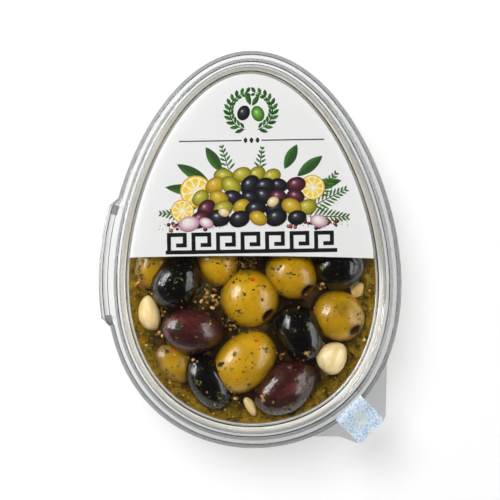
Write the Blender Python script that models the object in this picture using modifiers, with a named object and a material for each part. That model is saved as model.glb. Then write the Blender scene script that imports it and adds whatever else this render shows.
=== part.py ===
"""Clear egg-shaped pack of mixed olives: a tub, a hinged lid, a label, a seal and the heap inside.

Metres, +Z up. The pack stands on its base, with the origin in the middle of the base's underside.
The narrow end of the egg points to +Y, and the hinge is on the -X side.
"""

import math
import random
from typing import NamedTuple

import bmesh
import bpy
from mathutils import Matrix, Vector

MM = 0.001

# Rim outline, seen from above
EGG_LENGTH = 159.2 * MM
EGG_WIDTH = 116.7 * MM
EGG_TAPER = 0.168
EGG_FULLNESS = 0.036
EGG_STEPS = 72
TIP_RIM_SHARE = 0.8  # the rim is narrower than elsewhere by this share at the narrow end

# Heights and the thermoformed sheet
SHEET = 0.6 * MM
GAP = 0.3 * MM
TUB_RIM_TOP = 40.0 * MM
LID_RIM_TOP = TUB_RIM_TOP + GAP + SHEET
LID_TOP = 45.0 * MM
PANEL_TOP = 41.9 * MM
PANEL_INSET = 9.6 * MM

# Each profile runs from the rim's edge to the middle as (inset from the outline, height)
LID_PROFILE = (
    (0.0, LID_RIM_TOP - 1.1 * MM),
    (0.0, LID_RIM_TOP),
    (3.5 * MM, LID_RIM_TOP),
    (4.9 * MM, LID_TOP),
    (6.4 * MM, LID_TOP),
    (7.2 * MM, LID_TOP - 0.8 * MM),
    (8.6 * MM, LID_TOP - 0.9 * MM),
    (PANEL_INSET, PANEL_TOP),
)
TUB_PROFILE = (
    (0.9 * MM, TUB_RIM_TOP),
    (6.6 * MM, TUB_RIM_TOP),
    (7.5 * MM, 35.2 * MM),
    (8.8 * MM, 34.5 * MM),
    (13.6 * MM, 6.2 * MM),
    (15.0 * MM, 2.6 * MM),
    (18.5 * MM, SHEET),
)

# Hinge strap on the -X side: a leaf on each half, with the fold line just outside both
LEAF_BULGE = 3.0 * MM
LEAF_ROOT_INSET = 2.5 * MM
LEAF_THICKNESS = 0.5 * MM
LEAF_FRONT = -26.6 * MM
LEAF_BACK = 17.9 * MM
LEAF_CHAMFER = 3.6 * MM

# Opening tab on the tub, and the square seal over its corner
TAB_TOP = 39.5 * MM
TAB_CORNERS = (
    (52.9 * MM, -42.8 * MM),
    (52.0 * MM, -68.2 * MM),
    (41.4 * MM, -78.5 * MM),
    (33.5 * MM, -75.4 * MM),
    (21.3 * MM, -75.2 * MM),
)
TAB_ROOT_INSET = 4.0 * MM
SEAL_SIDE = 14.0 * MM
SEAL_THICKNESS = 0.3 * MM
SEAL_HEADING = math.radians(-46.4)
SEAL_START = (36.9 * MM, -63.7 * MM)
SEAL_ON_LID = 2.8 * MM
SEAL_ON_TAB = 5.0 * MM

# Label on the upper part of the window
LABEL_INSET = 10.0 * MM
LABEL_THICKNESS = 0.3 * MM
LABEL_EDGE_Y = -3.4 * MM
LABEL_EDGE_ARCH = 0.8 * MM
LABEL_EDGE_STEPS = 6

# Heap of olives and garlic
HEAP_TOP = 40.9 * MM
CORE_TOP = 30.0 * MM
SUNK_AT_LEAST = 1.0 * MM  # every piece reaches this far into the core
OLIVE_SEGMENTS = 12
OLIVE_RINGS = 8
PIT_HOLE_RADIUS = 1.9 * MM
PIT_HOLE_DEPTH = 4.0 * MM
HIDDEN_KINDS = ("green", "black", "pitted", "kalamata")
ROW_SPACING = 17.0 * MM
OLIVE_SPACING = 21.5 * MM
FIRST_ROW_Y = 14.0 * MM
LAST_ROW_Y = 67.0 * MM
SETTLING_ROUNDS = 30
WALL_ROUNDS = 4
HEAP_SEED = 7


class Piece(NamedTuple):
    """An olive or clove as seen from above: its sizes, and how far its top lies under the heap's top."""

    kind: str
    x: float
    y: float
    length: float
    width: float
    heading: float
    depth: float


# The pieces that show below the label, as a Piece holds them, in millimetres and degrees
SHOWING = (
    ("black", -31.1, -13.1, 22.5, 19.5, 50, 0.0),
    ("green", -14.2, -3.8, 22.0, 16.0, 95, 3.0),
    ("green", -41.6, -6.9, 19.0, 15.0, 70, 5.0),
    ("pitted", -1.6, -19.9, 24.2, 23.6, -42, 0.0),
    ("pitted", 15.4, -10.0, 23.0, 20.0, -48, 1.0),
    ("black", 34.5, -7.7, 21.0, 19.0, 10, 0.6),
    ("pitted", 34.0, -27.2, 22.0, 20.2, -42, 0.8),
    ("black", 18.5, -33.9, 25.0, 19.0, -63, 0.6),
    ("kalamata", -25.0, -32.5, 26.0, 19.2, -8, 0.4),
    ("green", -3.9, -45.3, 28.4, 22.0, 45, 0.0),
    ("kalamata", 12.5, -55.8, 29.0, 20.0, 34, 0.6),
    ("black", -20.6, -52.3, 25.0, 17.5, -57, 2.0),
    ("green", -33.7, -45.3, 19.0, 14.5, -50, 4.6),
    ("garlic", -42.4, -24.8, 15.0, 8.6, 100, 2.6),
    ("garlic", 31.3, -44.2, 13.8, 11.6, 60, 1.6),
    ("garlic", 42.3, -17.5, 9.5, 7.6, 70, 4.4),
    ("garlic", -2.8, -63.0, 9.0, 4.8, -62, 3.0),
)


def egg_point(turn, inset, height=0.0):
    """A point of the rim outline at an angle, moved inwards square to the outline."""
    c = math.cos(turn)
    s = math.sin(turn)
    swell = 1 - EGG_TAPER * s + EGG_FULLNESS * s * s
    slope_x = EGG_WIDTH / 2 * (-s * swell + c * c * (2 * EGG_FULLNESS * s - EGG_TAPER))
    slope_y = EGG_LENGTH / 2 * c
    size = math.hypot(slope_x, slope_y)
    inset *= 1 - (1 - TIP_RIM_SHARE) * max(0.0, s) ** 2
    x = EGG_WIDTH / 2 * c * swell - inset * slope_y / size
    y = EGG_LENGTH / 2 * s + inset * slope_x / size
    return Vector((x, y, height))


def egg_ring(inset, height=0.0, steps=EGG_STEPS):
    return [egg_point(math.tau * step / steps, inset, height) for step in range(steps)]


def arc_between(inset, low_y, high_y, side):
    """The ring's points on the +X side (side 1) or -X side (side -1) between two values of y, upwards."""
    points = [point for point in egg_ring(inset) if low_y < point.y < high_y and point.x * side > 0]
    return sorted(points, key=lambda point: point.y)


def clear_scene():
    for obj in list(bpy.data.objects):
        bpy.data.objects.remove(obj, do_unlink=True)


def new_collection(name, hidden=False):
    collection = bpy.data.collections.new(name)
    collection.hide_render = hidden
    bpy.context.scene.collection.children.link(collection)
    return collection


def new_object(name, mesh, collection):
    obj = bpy.data.objects.new(name, mesh)
    collection.objects.link(obj)
    return obj


def as_cutter(obj):
    obj.hide_render = True
    obj.display_type = "WIRE"
    return obj


def principled(name, colour, roughness, metallic=0.0, alpha=1.0):
    """Material with one Principled shader; the colour is linear."""
    material = bpy.data.materials.new(name)
    material.use_nodes = True
    shader = material.node_tree.nodes["Principled BSDF"]
    shader.inputs["Base Color"].default_value = (*colour, 1.0)
    shader.inputs["Roughness"].default_value = roughness
    shader.inputs["Metallic"].default_value = metallic
    shader.inputs["Alpha"].default_value = alpha
    return material


def mesh_of(bm, name):
    bmesh.ops.recalc_face_normals(bm, faces=bm.faces)
    mesh = bpy.data.meshes.new(name)
    bm.to_mesh(mesh)
    bm.free()
    return mesh


def bridge(bm, lower, upper):
    """Faces between two rings of as many vertices."""
    for i, vertex in enumerate(lower):
        after = (i + 1) % len(lower)
        bm.faces.new((vertex, lower[after], upper[after], upper[i]))


def formed_sheet(name, profile, collection):
    """A thermoformed sheet: rings along the profile, a flat panel inside the last, thickened downwards."""
    bm = bmesh.new()
    rings = [[bm.verts.new(point) for point in egg_ring(*station)] for station in profile]
    for outer, inner in zip(rings, rings[1:]):
        bridge(bm, outer, inner)
    bm.faces.new(rings[-1])
    mesh = bpy.data.meshes.new(name)
    bm.to_mesh(mesh)
    bm.free()
    obj = new_object(name, mesh, collection)
    thick = obj.modifiers.new("Sheet thickness", "SOLIDIFY")
    thick.thickness = SHEET
    thick.offset = -1
    thick.use_even_offset = True
    return obj


def flat_plate(name, outline, bottom, thickness, collection):
    """A flat plate from a closed outline, made as a filled 2D curve and turned into a mesh."""
    curve = bpy.data.curves.new(name, "CURVE")
    curve.dimensions = "2D"
    curve.fill_mode = "BOTH"
    curve.extrude = thickness / 2
    spline = curve.splines.new("POLY")
    spline.points.add(len(outline) - 1)
    for point, place in zip(spline.points, outline):
        point.co = (place[0], place[1], 0, 1)
    spline.use_cyclic_u = True
    guide = bpy.data.objects.new(name + "_outline", curve)
    bpy.context.scene.collection.objects.link(guide)
    bpy.context.view_layer.update()
    evaluated = guide.evaluated_get(bpy.context.evaluated_depsgraph_get())
    mesh = bpy.data.meshes.new_from_object(evaluated)
    mesh.name = name
    bpy.data.objects.remove(guide, do_unlink=True)
    bm = bmesh.new()
    bm.from_mesh(mesh)
    bmesh.ops.remove_doubles(bm, verts=bm.verts, dist=0.01 * MM)
    bmesh.ops.recalc_face_normals(bm, faces=bm.faces)
    bmesh.ops.translate(bm, verts=bm.verts, vec=(0, 0, bottom + thickness / 2))
    bm.to_mesh(mesh)
    bm.free()
    return new_object(name, mesh, collection)


def box_cutter(name, low, high, collection):
    bm = bmesh.new()
    bmesh.ops.create_cube(bm, size=1)
    size = Vector(high) - Vector(low)
    bmesh.ops.scale(bm, vec=size, verts=bm.verts)
    bmesh.ops.translate(bm, vec=Vector(low) + size / 2, verts=bm.verts)
    return as_cutter(new_object(name, mesh_of(bm, name), collection))


def add_boolean(obj, other, operation, name):
    modifier = obj.modifiers.new(name, "BOOLEAN")
    modifier.operation = operation
    modifier.object = other


def leaf_outline():
    """The hinge leaf seen from above: the rim's curve pushed outwards, with chamfered ends."""
    outer = arc_between(-LEAF_BULGE, LEAF_FRONT, LEAF_BACK, -1)
    inner = arc_between(LEAF_ROOT_INSET, LEAF_FRONT - LEAF_CHAMFER, LEAF_BACK + LEAF_CHAMFER, -1)
    return outer + inner[::-1]


def add_leaf(obj, bottom, cutters):
    leaf = as_cutter(flat_plate(obj.name + "_leaf", leaf_outline(), bottom, LEAF_THICKNESS, cutters))
    add_boolean(obj, leaf, "UNION", "Hinge leaf")


def make_lid(parts, cutters):
    """Lid with a stepped bead, a sunk window panel and a lip that stops at the hinge."""
    lid = formed_sheet("lid", LID_PROFILE, parts)
    low = (-EGG_WIDTH, LEAF_FRONT - LEAF_CHAMFER - GAP, LID_RIM_TOP - 2 * MM)
    high = (-EGG_WIDTH / 4, LEAF_BACK + LEAF_CHAMFER + GAP, LID_RIM_TOP - SHEET - 0.1 * MM)
    add_boolean(lid, box_cutter("lip_gap_at_hinge", low, high, cutters), "DIFFERENCE", "Lip gap")
    add_leaf(lid, LID_RIM_TOP - SHEET + 0.05 * MM, cutters)
    return lid


def make_tub(parts, cutters):
    """Tapered tub with a flat rim, a stacking shoulder, a hinge leaf and the opening tab."""
    tub = formed_sheet("tub", TUB_PROFILE, parts)
    add_leaf(tub, TUB_RIM_TOP - SHEET + 0.05 * MM, cutters)
    corners = [Vector((x, y, 0)) for x, y in TAB_CORNERS]
    root = arc_between(TAB_ROOT_INSET, corners[-1].y + 3 * MM, corners[0].y, 1)
    root = [point for point in root if point.x > corners[-1].x]
    tab = flat_plate("tub_tab", corners + root, TAB_TOP - SHEET, SHEET, cutters)
    add_boolean(tub, as_cutter(tab), "UNION", "Tab")
    return tub


def label_outline():
    sides = [point for point in egg_ring(LABEL_INSET) if point.y > LABEL_EDGE_Y]
    sides.sort(key=lambda point: math.atan2(point.y - LABEL_EDGE_Y, point.x))
    reach = max(point.x for point in sides)
    edge = []
    for step in range(LABEL_EDGE_STEPS + 1):
        across = 2 * step / LABEL_EDGE_STEPS - 1
        edge.append(Vector((reach * across, LABEL_EDGE_Y + LABEL_EDGE_ARCH * (1 - across * across), 0)))
    return edge + sides


def make_label(parts):
    return flat_plate("label", label_outline(), PANEL_TOP + GAP, LABEL_THICKNESS, parts)


def make_seal(parts):
    """Square foil that lies on the lid's rim and steps down onto the tab."""
    stations = (
        (0.0, LID_RIM_TOP + GAP),
        (SEAL_ON_LID, LID_RIM_TOP + GAP),
        (SEAL_ON_TAB, TAB_TOP + GAP),
        (SEAL_SIDE, TAB_TOP + GAP),
    )
    bm = bmesh.new()
    pairs = []
    for along, height in stations:
        pairs.append([bm.verts.new((along, side * SEAL_SIDE / 2, height)) for side in (-1, 1)])
    for (right, left), (right_after, left_after) in zip(pairs, pairs[1:]):
        bm.faces.new((right, right_after, left_after, left))
    turn = Matrix.Rotation(SEAL_HEADING, 4, "Z")
    bmesh.ops.transform(bm, matrix=Matrix.Translation((*SEAL_START, 0)) @ turn, verts=bm.verts)
    mesh = bpy.data.meshes.new("seal")
    bm.to_mesh(mesh)
    bm.free()
    seal = new_object("seal", mesh, parts)
    thick = seal.modifiers.new("Foil thickness", "SOLIDIFY")
    thick.thickness = SEAL_THICKNESS
    thick.offset = 1
    return seal


def wall_inset(height):
    """How far the tub's inner face lies inside the outline at a height."""
    for (high_inset, high), (low_inset, low) in zip(TUB_PROFILE, TUB_PROFILE[1:]):
        if low <= height <= high and low < high:
            return low_inset + (high_inset - low_inset) * (height - low) / (high - low)
    return TUB_PROFILE[-1][0]


def mean_reach(piece):
    """Mean radius seen from above, for keeping pieces apart."""
    return (piece.length + piece.width) / 4


def reach_towards(piece, direction):
    """How far a piece reaches from its centre in a direction seen from above."""
    turn = math.atan2(direction.y, direction.x) - piece.heading
    return math.hypot(piece.length / 2 * math.cos(turn), piece.width / 2 * math.sin(turn))


def centre_of(piece):
    """The centre of a piece, moved away from the nearest stretch of wall until it clears it."""
    height = min(HEAP_TOP - piece.depth - piece.width / 2, CORE_TOP - SUNK_AT_LEAST + piece.width / 2)
    centre = Vector((piece.x, piece.y, height))
    wall = egg_ring(wall_inset(height), height, 2 * EGG_STEPS)
    for _ in range(WALL_ROUNDS):
        nearest = min(wall, key=lambda point: (point - centre).length)
        inwards = centre - nearest
        short = reach_towards(piece, inwards) + 2 * GAP - inwards.length
        if short <= 0:
            break
        centre += inwards.normalized() * short
    return centre


def showing_pieces():
    for kind, x, y, length, width, heading, depth in SHOWING:
        yield Piece(kind, x * MM, y * MM, length * MM, width * MM, math.radians(heading), depth * MM)


def hidden_pieces():
    """Olives under the label, in staggered rows, each a little out of line."""
    rng = random.Random(HEAP_SEED)
    rows = int((LAST_ROW_Y - FIRST_ROW_Y) / ROW_SPACING) + 1
    for row in range(rows):
        y = FIRST_ROW_Y + row * ROW_SPACING
        half = max(point.x for point in egg_ring(wall_inset(CORE_TOP)) if abs(point.y - y) < 4 * MM)
        count = max(1, round(2 * half / OLIVE_SPACING))
        for column in range(count):
            x = ((2 * column + 1) / count - 1) * half + rng.uniform(-1.5, 1.5) * MM
            kind = HIDDEN_KINDS[(column + row) % len(HIDDEN_KINDS)]
            length = rng.uniform(20.5, 25) * MM
            width = length * rng.uniform(0.76, 0.88)
            heading = rng.uniform(0, math.pi)
            yield Piece(kind, x, y + rng.uniform(-2, 2) * MM, length, width, heading, rng.uniform(0, 2) * MM)


def settled(fixed, loose):
    """Pushes the loose pieces off each other, off the fixed ones and off the wall."""
    for _ in range(SETTLING_ROUNDS):
        for i, piece in enumerate(loose):
            centre = centre_of(piece)
            for other in fixed + loose[:i] + loose[i + 1 :]:
                apart = centre - centre_of(other)
                apart.z = 0
                short = mean_reach(piece) + mean_reach(other) - apart.length
                if short > 0:
                    centre += apart.normalized() * short / 2
            loose[i] = piece._replace(x=centre.x, y=centre.y)
    return fixed + loose


def piece_matrix(piece):
    turn = Matrix.Rotation(piece.heading, 4, "Z")
    size = Matrix.Diagonal((piece.length / 2, piece.width / 2, piece.width / 2, 1))
    return Matrix.Translation(centre_of(piece)) @ turn @ size


def add_piece(name, matrix, collection):
    bm = bmesh.new()
    bmesh.ops.create_uvsphere(bm, u_segments=OLIVE_SEGMENTS, v_segments=OLIVE_RINGS, radius=1)
    bmesh.ops.rotate(bm, verts=bm.verts, matrix=Matrix.Rotation(math.pi / 2, 3, "Y"))
    bmesh.ops.transform(bm, matrix=matrix, verts=bm.verts)
    return new_object(name, mesh_of(bm, name), collection)


def add_pit_hole(name, matrix, collection):
    """A short round cutter that enters the olive's end from above."""
    end = matrix @ Vector((0.68, 0, 0.62))
    outwards = (end - matrix.translation).normalized()
    bm = bmesh.new()
    bmesh.ops.create_cone(
        bm,
        cap_ends=True,
        segments=10,
        radius1=PIT_HOLE_RADIUS,
        radius2=PIT_HOLE_RADIUS,
        depth=2 * PIT_HOLE_DEPTH,
    )
    turn = Vector((0, 0, 1)).rotation_difference(outwards).to_matrix().to_4x4()
    bmesh.ops.transform(bm, matrix=Matrix.Translation(end) @ turn, verts=bm.verts)
    return as_cutter(new_object(name, mesh_of(bm, name), collection))


def heap_core(parts):
    """The filled lower part of the tub, clear of its walls."""
    profile = [(wall_inset(CORE_TOP) + GAP, CORE_TOP)]
    for inset, height in TUB_PROFILE[4:]:
        profile.append((inset + GAP, height + GAP))
    bm = bmesh.new()
    rings = [[bm.verts.new(point) for point in egg_ring(*station)] for station in profile]
    for outer, inner in zip(rings, rings[1:]):
        bridge(bm, outer, inner)
    bm.faces.new(rings[0])
    bm.faces.new(rings[-1])
    return new_object("olives", mesh_of(bm, "olives"), parts)


def apply_modifiers(obj):
    bpy.context.view_layer.update()
    evaluated = obj.evaluated_get(bpy.context.evaluated_depsgraph_get())
    mesh = bpy.data.meshes.new_from_object(evaluated)
    obj.modifiers.clear()
    obj.data = mesh
    mesh.name = obj.name


def make_heap(parts):
    """Core with every olive and clove of the top layer fused on, and the pitted ones' holes cut."""
    heap = heap_core(parts)
    joined = new_collection("Heap pieces", hidden=True)
    holes = new_collection("Pit holes", hidden=True)
    for number, piece in enumerate(settled(list(showing_pieces()), list(hidden_pieces()))):
        matrix = piece_matrix(piece)
        add_piece(f"{piece.kind}_{number}", matrix, joined)
        if piece.kind == "pitted":
            add_pit_hole(f"pit_hole_{number}", matrix, holes)
    for name, operation, collection in (("Pieces", "UNION", joined), ("Pit holes", "DIFFERENCE", holes)):
        modifier = heap.modifiers.new(name, "BOOLEAN")
        modifier.operation = operation
        modifier.operand_type = "COLLECTION"
        modifier.collection = collection
    apply_modifiers(heap)
    for collection in (joined, holes):
        for obj in list(collection.objects):
            bpy.data.objects.remove(obj, do_unlink=True)
        bpy.data.collections.remove(collection)
    return heap


def finish(obj, material, smooth_angle=35):
    obj.data.materials.clear()
    obj.data.materials.append(material)
    obj.data.shade_smooth()
    obj.data.set_sharp_from_angle(angle=math.radians(smooth_angle))


def main():
    clear_scene()
    parts = new_collection("Pack of olives")
    cutters = new_collection("Cutters", hidden=True)
    clear_plastic = principled("Clear PET", (0.86, 0.88, 0.88), 0.08, alpha=0.35)
    finish(make_tub(parts, cutters), clear_plastic)
    finish(make_lid(parts, cutters), clear_plastic)
    finish(make_label(parts), principled("White label", (0.82, 0.82, 0.81), 0.4))
    finish(make_seal(parts), principled("Silver foil", (0.62, 0.72, 0.86), 0.3, metallic=0.7))
    finish(make_heap(parts), principled("Oiled olives", (0.27, 0.17, 0.02), 0.2))


main()
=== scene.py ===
"""Looks of the clear egg-shaped pack of mixed olives: plastic, print, foil, fruit, herbs and oil.

Metres, +Z up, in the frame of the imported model: the origin is under the middle of the base, the
narrow end of the egg points to +Y, and the hinge is on the -X side.
"""

import math
import random
from typing import NamedTuple

import bmesh
import bpy
from mathutils import Matrix, Vector, noise
from mathutils.bvhtree import BVHTree
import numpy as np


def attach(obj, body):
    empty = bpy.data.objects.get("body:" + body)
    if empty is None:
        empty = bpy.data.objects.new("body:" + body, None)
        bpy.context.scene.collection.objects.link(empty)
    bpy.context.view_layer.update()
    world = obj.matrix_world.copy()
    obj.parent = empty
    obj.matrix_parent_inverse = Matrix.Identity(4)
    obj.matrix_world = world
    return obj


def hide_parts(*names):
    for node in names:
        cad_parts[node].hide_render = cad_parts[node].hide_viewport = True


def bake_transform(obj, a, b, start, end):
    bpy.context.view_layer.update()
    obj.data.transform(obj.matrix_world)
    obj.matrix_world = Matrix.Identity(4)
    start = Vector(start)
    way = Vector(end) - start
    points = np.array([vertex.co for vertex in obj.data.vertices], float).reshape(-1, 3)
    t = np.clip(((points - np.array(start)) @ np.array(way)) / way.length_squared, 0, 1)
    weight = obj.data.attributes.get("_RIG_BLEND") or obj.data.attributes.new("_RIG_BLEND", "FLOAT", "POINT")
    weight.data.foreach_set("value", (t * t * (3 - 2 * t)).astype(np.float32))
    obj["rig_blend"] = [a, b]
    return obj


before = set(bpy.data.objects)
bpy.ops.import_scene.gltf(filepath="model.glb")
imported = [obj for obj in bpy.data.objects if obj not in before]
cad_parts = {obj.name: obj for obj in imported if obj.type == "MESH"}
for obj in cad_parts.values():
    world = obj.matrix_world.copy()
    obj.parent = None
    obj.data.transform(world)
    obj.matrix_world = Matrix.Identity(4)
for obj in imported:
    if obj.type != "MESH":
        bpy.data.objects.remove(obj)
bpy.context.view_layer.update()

MM = 0.001

# Rim outline, seen from above
EGG_LENGTH = 159.2 * MM
EGG_WIDTH = 116.7 * MM
EGG_TAPER = 0.168
EGG_FULLNESS = 0.036
TIP_RIM_SHARE = 0.96
WINDOW_SHIFT = (-0.6 * MM, 0.1 * MM)
WINDOW_SHIFT_START = 3.0 * MM
WINDOW_SHIFT_END = 8.0 * MM
RIM_STEPS = 240
STRAP_END_STEPS = 22

# Clear sheet, as it was formed
SHEET = 0.5 * MM
LID_RIM_TOP = 40.9 * MM
LID_TOP = 45.0 * MM
LID_STEP = LID_TOP - 0.9 * MM
PANEL_TOP = 41.9 * MM
PANEL_INSET = 9.6 * MM
TUB_RIM_TOP = 40.0 * MM
BASE_TOP = 0.6 * MM

# Profiles from the rim's edge to the middle: inset, height, radius of the bend there
LID_PROFILE = (
    (0.0, 39.3 * MM, 0.0),
    (1.6 * MM, LID_RIM_TOP, 0.35 * MM),
    (3.3 * MM, LID_RIM_TOP, 0.5 * MM),
    (4.8 * MM, LID_TOP, 0.9 * MM),
    (6.2 * MM, LID_TOP, 0.5 * MM),
    (7.0 * MM, LID_STEP, 0.5 * MM),
    (8.9 * MM, LID_STEP, 0.5 * MM),
    (PANEL_INSET, PANEL_TOP, 0.5 * MM),
    (PANEL_INSET + 2.0 * MM, PANEL_TOP, 0.0),
    (PANEL_INSET + 3.0 * MM, PANEL_TOP, 0.0),
)
TUB_PROFILE = (
    (0.5 * MM, 38.9 * MM, 0.0),
    (1.6 * MM, TUB_RIM_TOP, 0.3 * MM),
    (6.6 * MM, TUB_RIM_TOP, 0.6 * MM),
    (7.5 * MM, 35.2 * MM, 0.5 * MM),
    (8.8 * MM, 34.5 * MM, 0.5 * MM),
    (13.6 * MM, 6.2 * MM, 2.5 * MM),
    (15.0 * MM, 2.6 * MM, 1.5 * MM),
    (18.5 * MM, BASE_TOP, 2.5 * MM),
    (24.0 * MM, BASE_TOP, 0.0),
)
BEND_STEPS = 5
BEND_SIDE_SHARE = 0.48
LEDGE_HEIGHTS = (29.8 * MM, 38.4 * MM)

# Hinge strap: each half's edge swells outwards there, and a thin film folds round between them
LEAF_BULGE = 2.35 * MM
FILM_BULGE = 2.95 * MM
LEAF_FRONT = -26.6 * MM
LEAF_BACK = 17.9 * MM
LEAF_CHAMFER = 3.6 * MM
LEAF_LEVEL_REACH = 2.4 * MM
LEAF_ROOT_INSET = 3.3 * MM
STRAP_INNER_EDGE = 1.35 * MM
FOLD_HEIGHT = 40.15 * MM
FILM_THICKNESS = 0.2 * MM
FILM_RISE = 0.72 * MM
FILM_OVERLAP = 0.05 * MM
FILM_STEPS = 12
RIB_WIDTH = 0.35 * MM
RIB_HEIGHT = 0.45 * MM
RIB_SUNK = 0.1 * MM
RIB_TOP_SHARE = 0.6
STRAP_STEPS = 40
STRAP_STOPS = ((-29.5 * MM, -25.4 * MM), (14.8 * MM, 18.5 * MM))
STOP_INSETS = (0.3 * MM, 1.5 * MM)
STOP_THICKNESS = 0.6 * MM
STOP_SUNK = 0.15 * MM

# How matt the mould left each part of the sheet, from 0 to 1; the same share greys it, which is partly
# painted shade
STOP_FROST_AND_SHADE = 1.0
STRAP_FROST_AND_SHADE = 0.4
TAB_FROST_AND_SHADE = 0.6

# Opening tab and its seal
TAB_TOP = 38.9 * MM
TAB_ROOT_INSET = 0.8 * MM
TAB_CORNERS = (
    (52.9 * MM, -42.8 * MM),
    (52.0 * MM, -68.2 * MM),
    (41.4 * MM, -78.5 * MM),
    (33.5 * MM, -75.4 * MM),
    (21.3 * MM, -75.2 * MM),
)
TAB_CORNER_RADIUS = 1.5 * MM
SEAL_SIDE = 14.0 * MM
SEAL_THICKNESS = 0.12 * MM
SEAL_HEADING = math.radians(-46.4)
SEAL_START = (36.9 * MM, -63.7 * MM)
SEAL_ON_RIM = LID_RIM_TOP + 0.32 * MM
SEAL_ON_TAB = TAB_TOP + 0.42 * MM
SEAL_SLOPE_START = 2.2 * MM
SEAL_SLOPE_LENGTH = 6.0 * MM
SEAL_STEPS = 28

# Label
LABEL_INSET = 9.9 * MM
LABEL_BOTTOM = PANEL_TOP + 0.1 * MM
LABEL_THICKNESS = 0.25 * MM
LABEL_EDGE_Y = -3.4 * MM
LABEL_EDGE_SLOPE = -0.019
LABEL_EDGE_ARCH = 0.8 * MM
LABEL_CORNER = 0.15 * MM
LABEL_TOP = LABEL_BOTTOM + LABEL_THICKNESS
PRINT_LAYER = 0.02 * MM

# Print, in millimetres and degrees: inks from the outline to the bright spot, then the places
GREEN_INKS = ("#6B6410", "#8F8A1E", "#A9A22A", "#BDB43C", "#CFC65A", "#EDE7B0")
GOLD_INKS = ("#8A6A10", "#AC8A16", "#C4A022", "#D2B02E", "#DCC050", "#F4E8B8")
BLACK_INKS = ("#0A0A0C", "#101014", "#1B1B22", "#2A2A33", "#4A4A55", "#D6D8DE")
PURPLE_INKS = ("#241016", "#38161F", "#4E1F2B", "#662C3A", "#8A5060", "#E0C8CE")
CREAM_INKS = ("#B08C50", "#D9BC82", "#EBD6A6", "#F3E4C0", "#F9F0DA", "#FFFFFF")
PEEL_INKS = ("#AC7A8C", "#CFA6B2", "#E6CCD0", "#F2E4E0", "#FAF4EE", "#FFFFFF")
FRESH_GREEN_INKS = ("#2C5A18", "#3F7A20", "#559430", "#6BAA40", "#8CC05E", "#E6F2D0")
RED_CORN_INKS = ("#4A1A12", "#7A2A1C", "#A04030", "#C06A50", "#E0A890", "#F4DCD0")
CRUMB_INKS = ("#C9A070", "#B07A48", "#8A5A38", "#D8B890")
SPRIG_INKS = ("#2A5420", "#3C6E2C", "#6B9A4A")
BORDER_INK = "#0C0C0C"
WREATH_Y = 55.2
WREATH_RADII = (8.6, 7.6)
# Leaves and sprigs beside the heap: foot, length, heading
HEAP_LEAVES = (
    (-17, 27, 15, 150),
    (-18, 23, 17, 172),
    (-20, 19, 14, 196),
    (-12, 31, 12, 122),
    (18, 29, 13, 38),
    (21, 24, 15, 12),
    (13, 32, 11, 62),
)
HEAP_SPRIGS = (
    (-9, 31, 11, 106),
    (3, 32, 9, 82),
    (24, 17, 15, 26),
    (22, 13, 16, -2),
    (-24, 14, 13, 176),
    (26, 21, 12, 50),
)
# Lemon rounds: middle, radius, layer
HEAP_LEMONS = ((-22.5, 23.5, 6.4, 6), (24.0, 24.5, 5.0, 6), (-28.0, 15.8, 4.6, 9))
# Rows of olives: height, how many, spacing
HEAP_ROWS = ((29.5, 4, 6.4), (25.6, 6, 6.3), (21.2, 7, 6.2), (16.8, 7, 6.7), (12.6, 6, 7.6))
# Onions: middle, length, heading
HEAP_ONIONS = ((-25.5, 10.6, 8.6, 12), (26.5, 11.0, 7.2, -14), (-18.6, 10.9, 5.8, -22))

# Contents, with the heights of the source's heap: its core, and the top pieces sunk in it
HEAP_TOP = 40.9 * MM
CORE_TOP = 30.0 * MM
SUNK_AT_LEAST = 1.0 * MM
OIL_LEVEL = 29.5 * MM
OIL_IN_WALL = 0.2 * MM
OIL_STEPS = 144
OIL_RINGS = 70
OIL_CREEP_AT_WALL = 0.5 * MM
OIL_CREEP_AT_FRUIT = 0.7 * MM
OIL_CREEP_REACH = 0.9 * MM
OIL_CREEP_MOST = 1.0 * MM
OIL_RIPPLE = 0.12 * MM
# Painted light and shade on the oil: golden where light comes in through the wall, darker brown further in
# where shade falls between the fruit
OIL_LIT_BAND = 2.5 * MM
OIL_SHADE_SPREAD = 5.0 * MM
GAP = 0.3 * MM
PIT_HOLE_RADIUS = 2.5 * MM
PITTED_TILT = math.radians(35)
SHOWN_SEGMENTS = 72
HIDDEN_SEGMENTS = 40
DEEP_SEGMENTS = 32
HIDDEN_KINDS = ("green", "black", "pitted", "kalamata")
ROW_SPACING = 17.0 * MM
OLIVE_SPACING = 21.5 * MM
FIRST_ROW_Y = 14.0 * MM
LAST_ROW_Y = 67.0 * MM
SETTLING_ROUNDS = 30
WALL_ROUNDS = 4
HEAP_SEED = 7
DEEP_KINDS = ("green", "black", "kalamata", "green", "black")
DEEP_SPACING = 19.5 * MM
DEEP_ROWS_END = EGG_LENGTH / 2 - 22 * MM

# Shapes of the fruit, in shares of their half sizes
BLUNTNESS = {"green": 0.93, "pitted": 0.93, "black": 0.95, "kalamata": 1.0}
UNEVENNESS = {"green": 0.022, "pitted": 0.02, "black": 0.016, "kalamata": 0.022}
KALAMATA_POINT = 0.16
PIT_RIM = ((0.035, 1.2), (0.04, 1.05), (0.015, 0.92))
PIT_DEPTHS = (0.05, 0.15, 0.3, 0.5, 0.8)
CLOVE_TAPER = 0.14
CLOVE_BEND = 0.1
CLOVE_FLATNESS = 0.92
CLOVE_UNEVENNESS = 0.08
CLOVE_RIDGES = 0.04

# Camera and picture: 500 pixels show 200 mm at the lid's rim, and the pack lies a little turned
PICTURE_WIDTH = 200 * MM
PICTURE_PIXELS = 500
PACK_CENTRE_PIXEL = (253.2, 249.5)
PACK_TURN = 0.0154
CAMERA_HEIGHT = 1.15
SENSOR_WIDTH = 36.0


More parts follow.
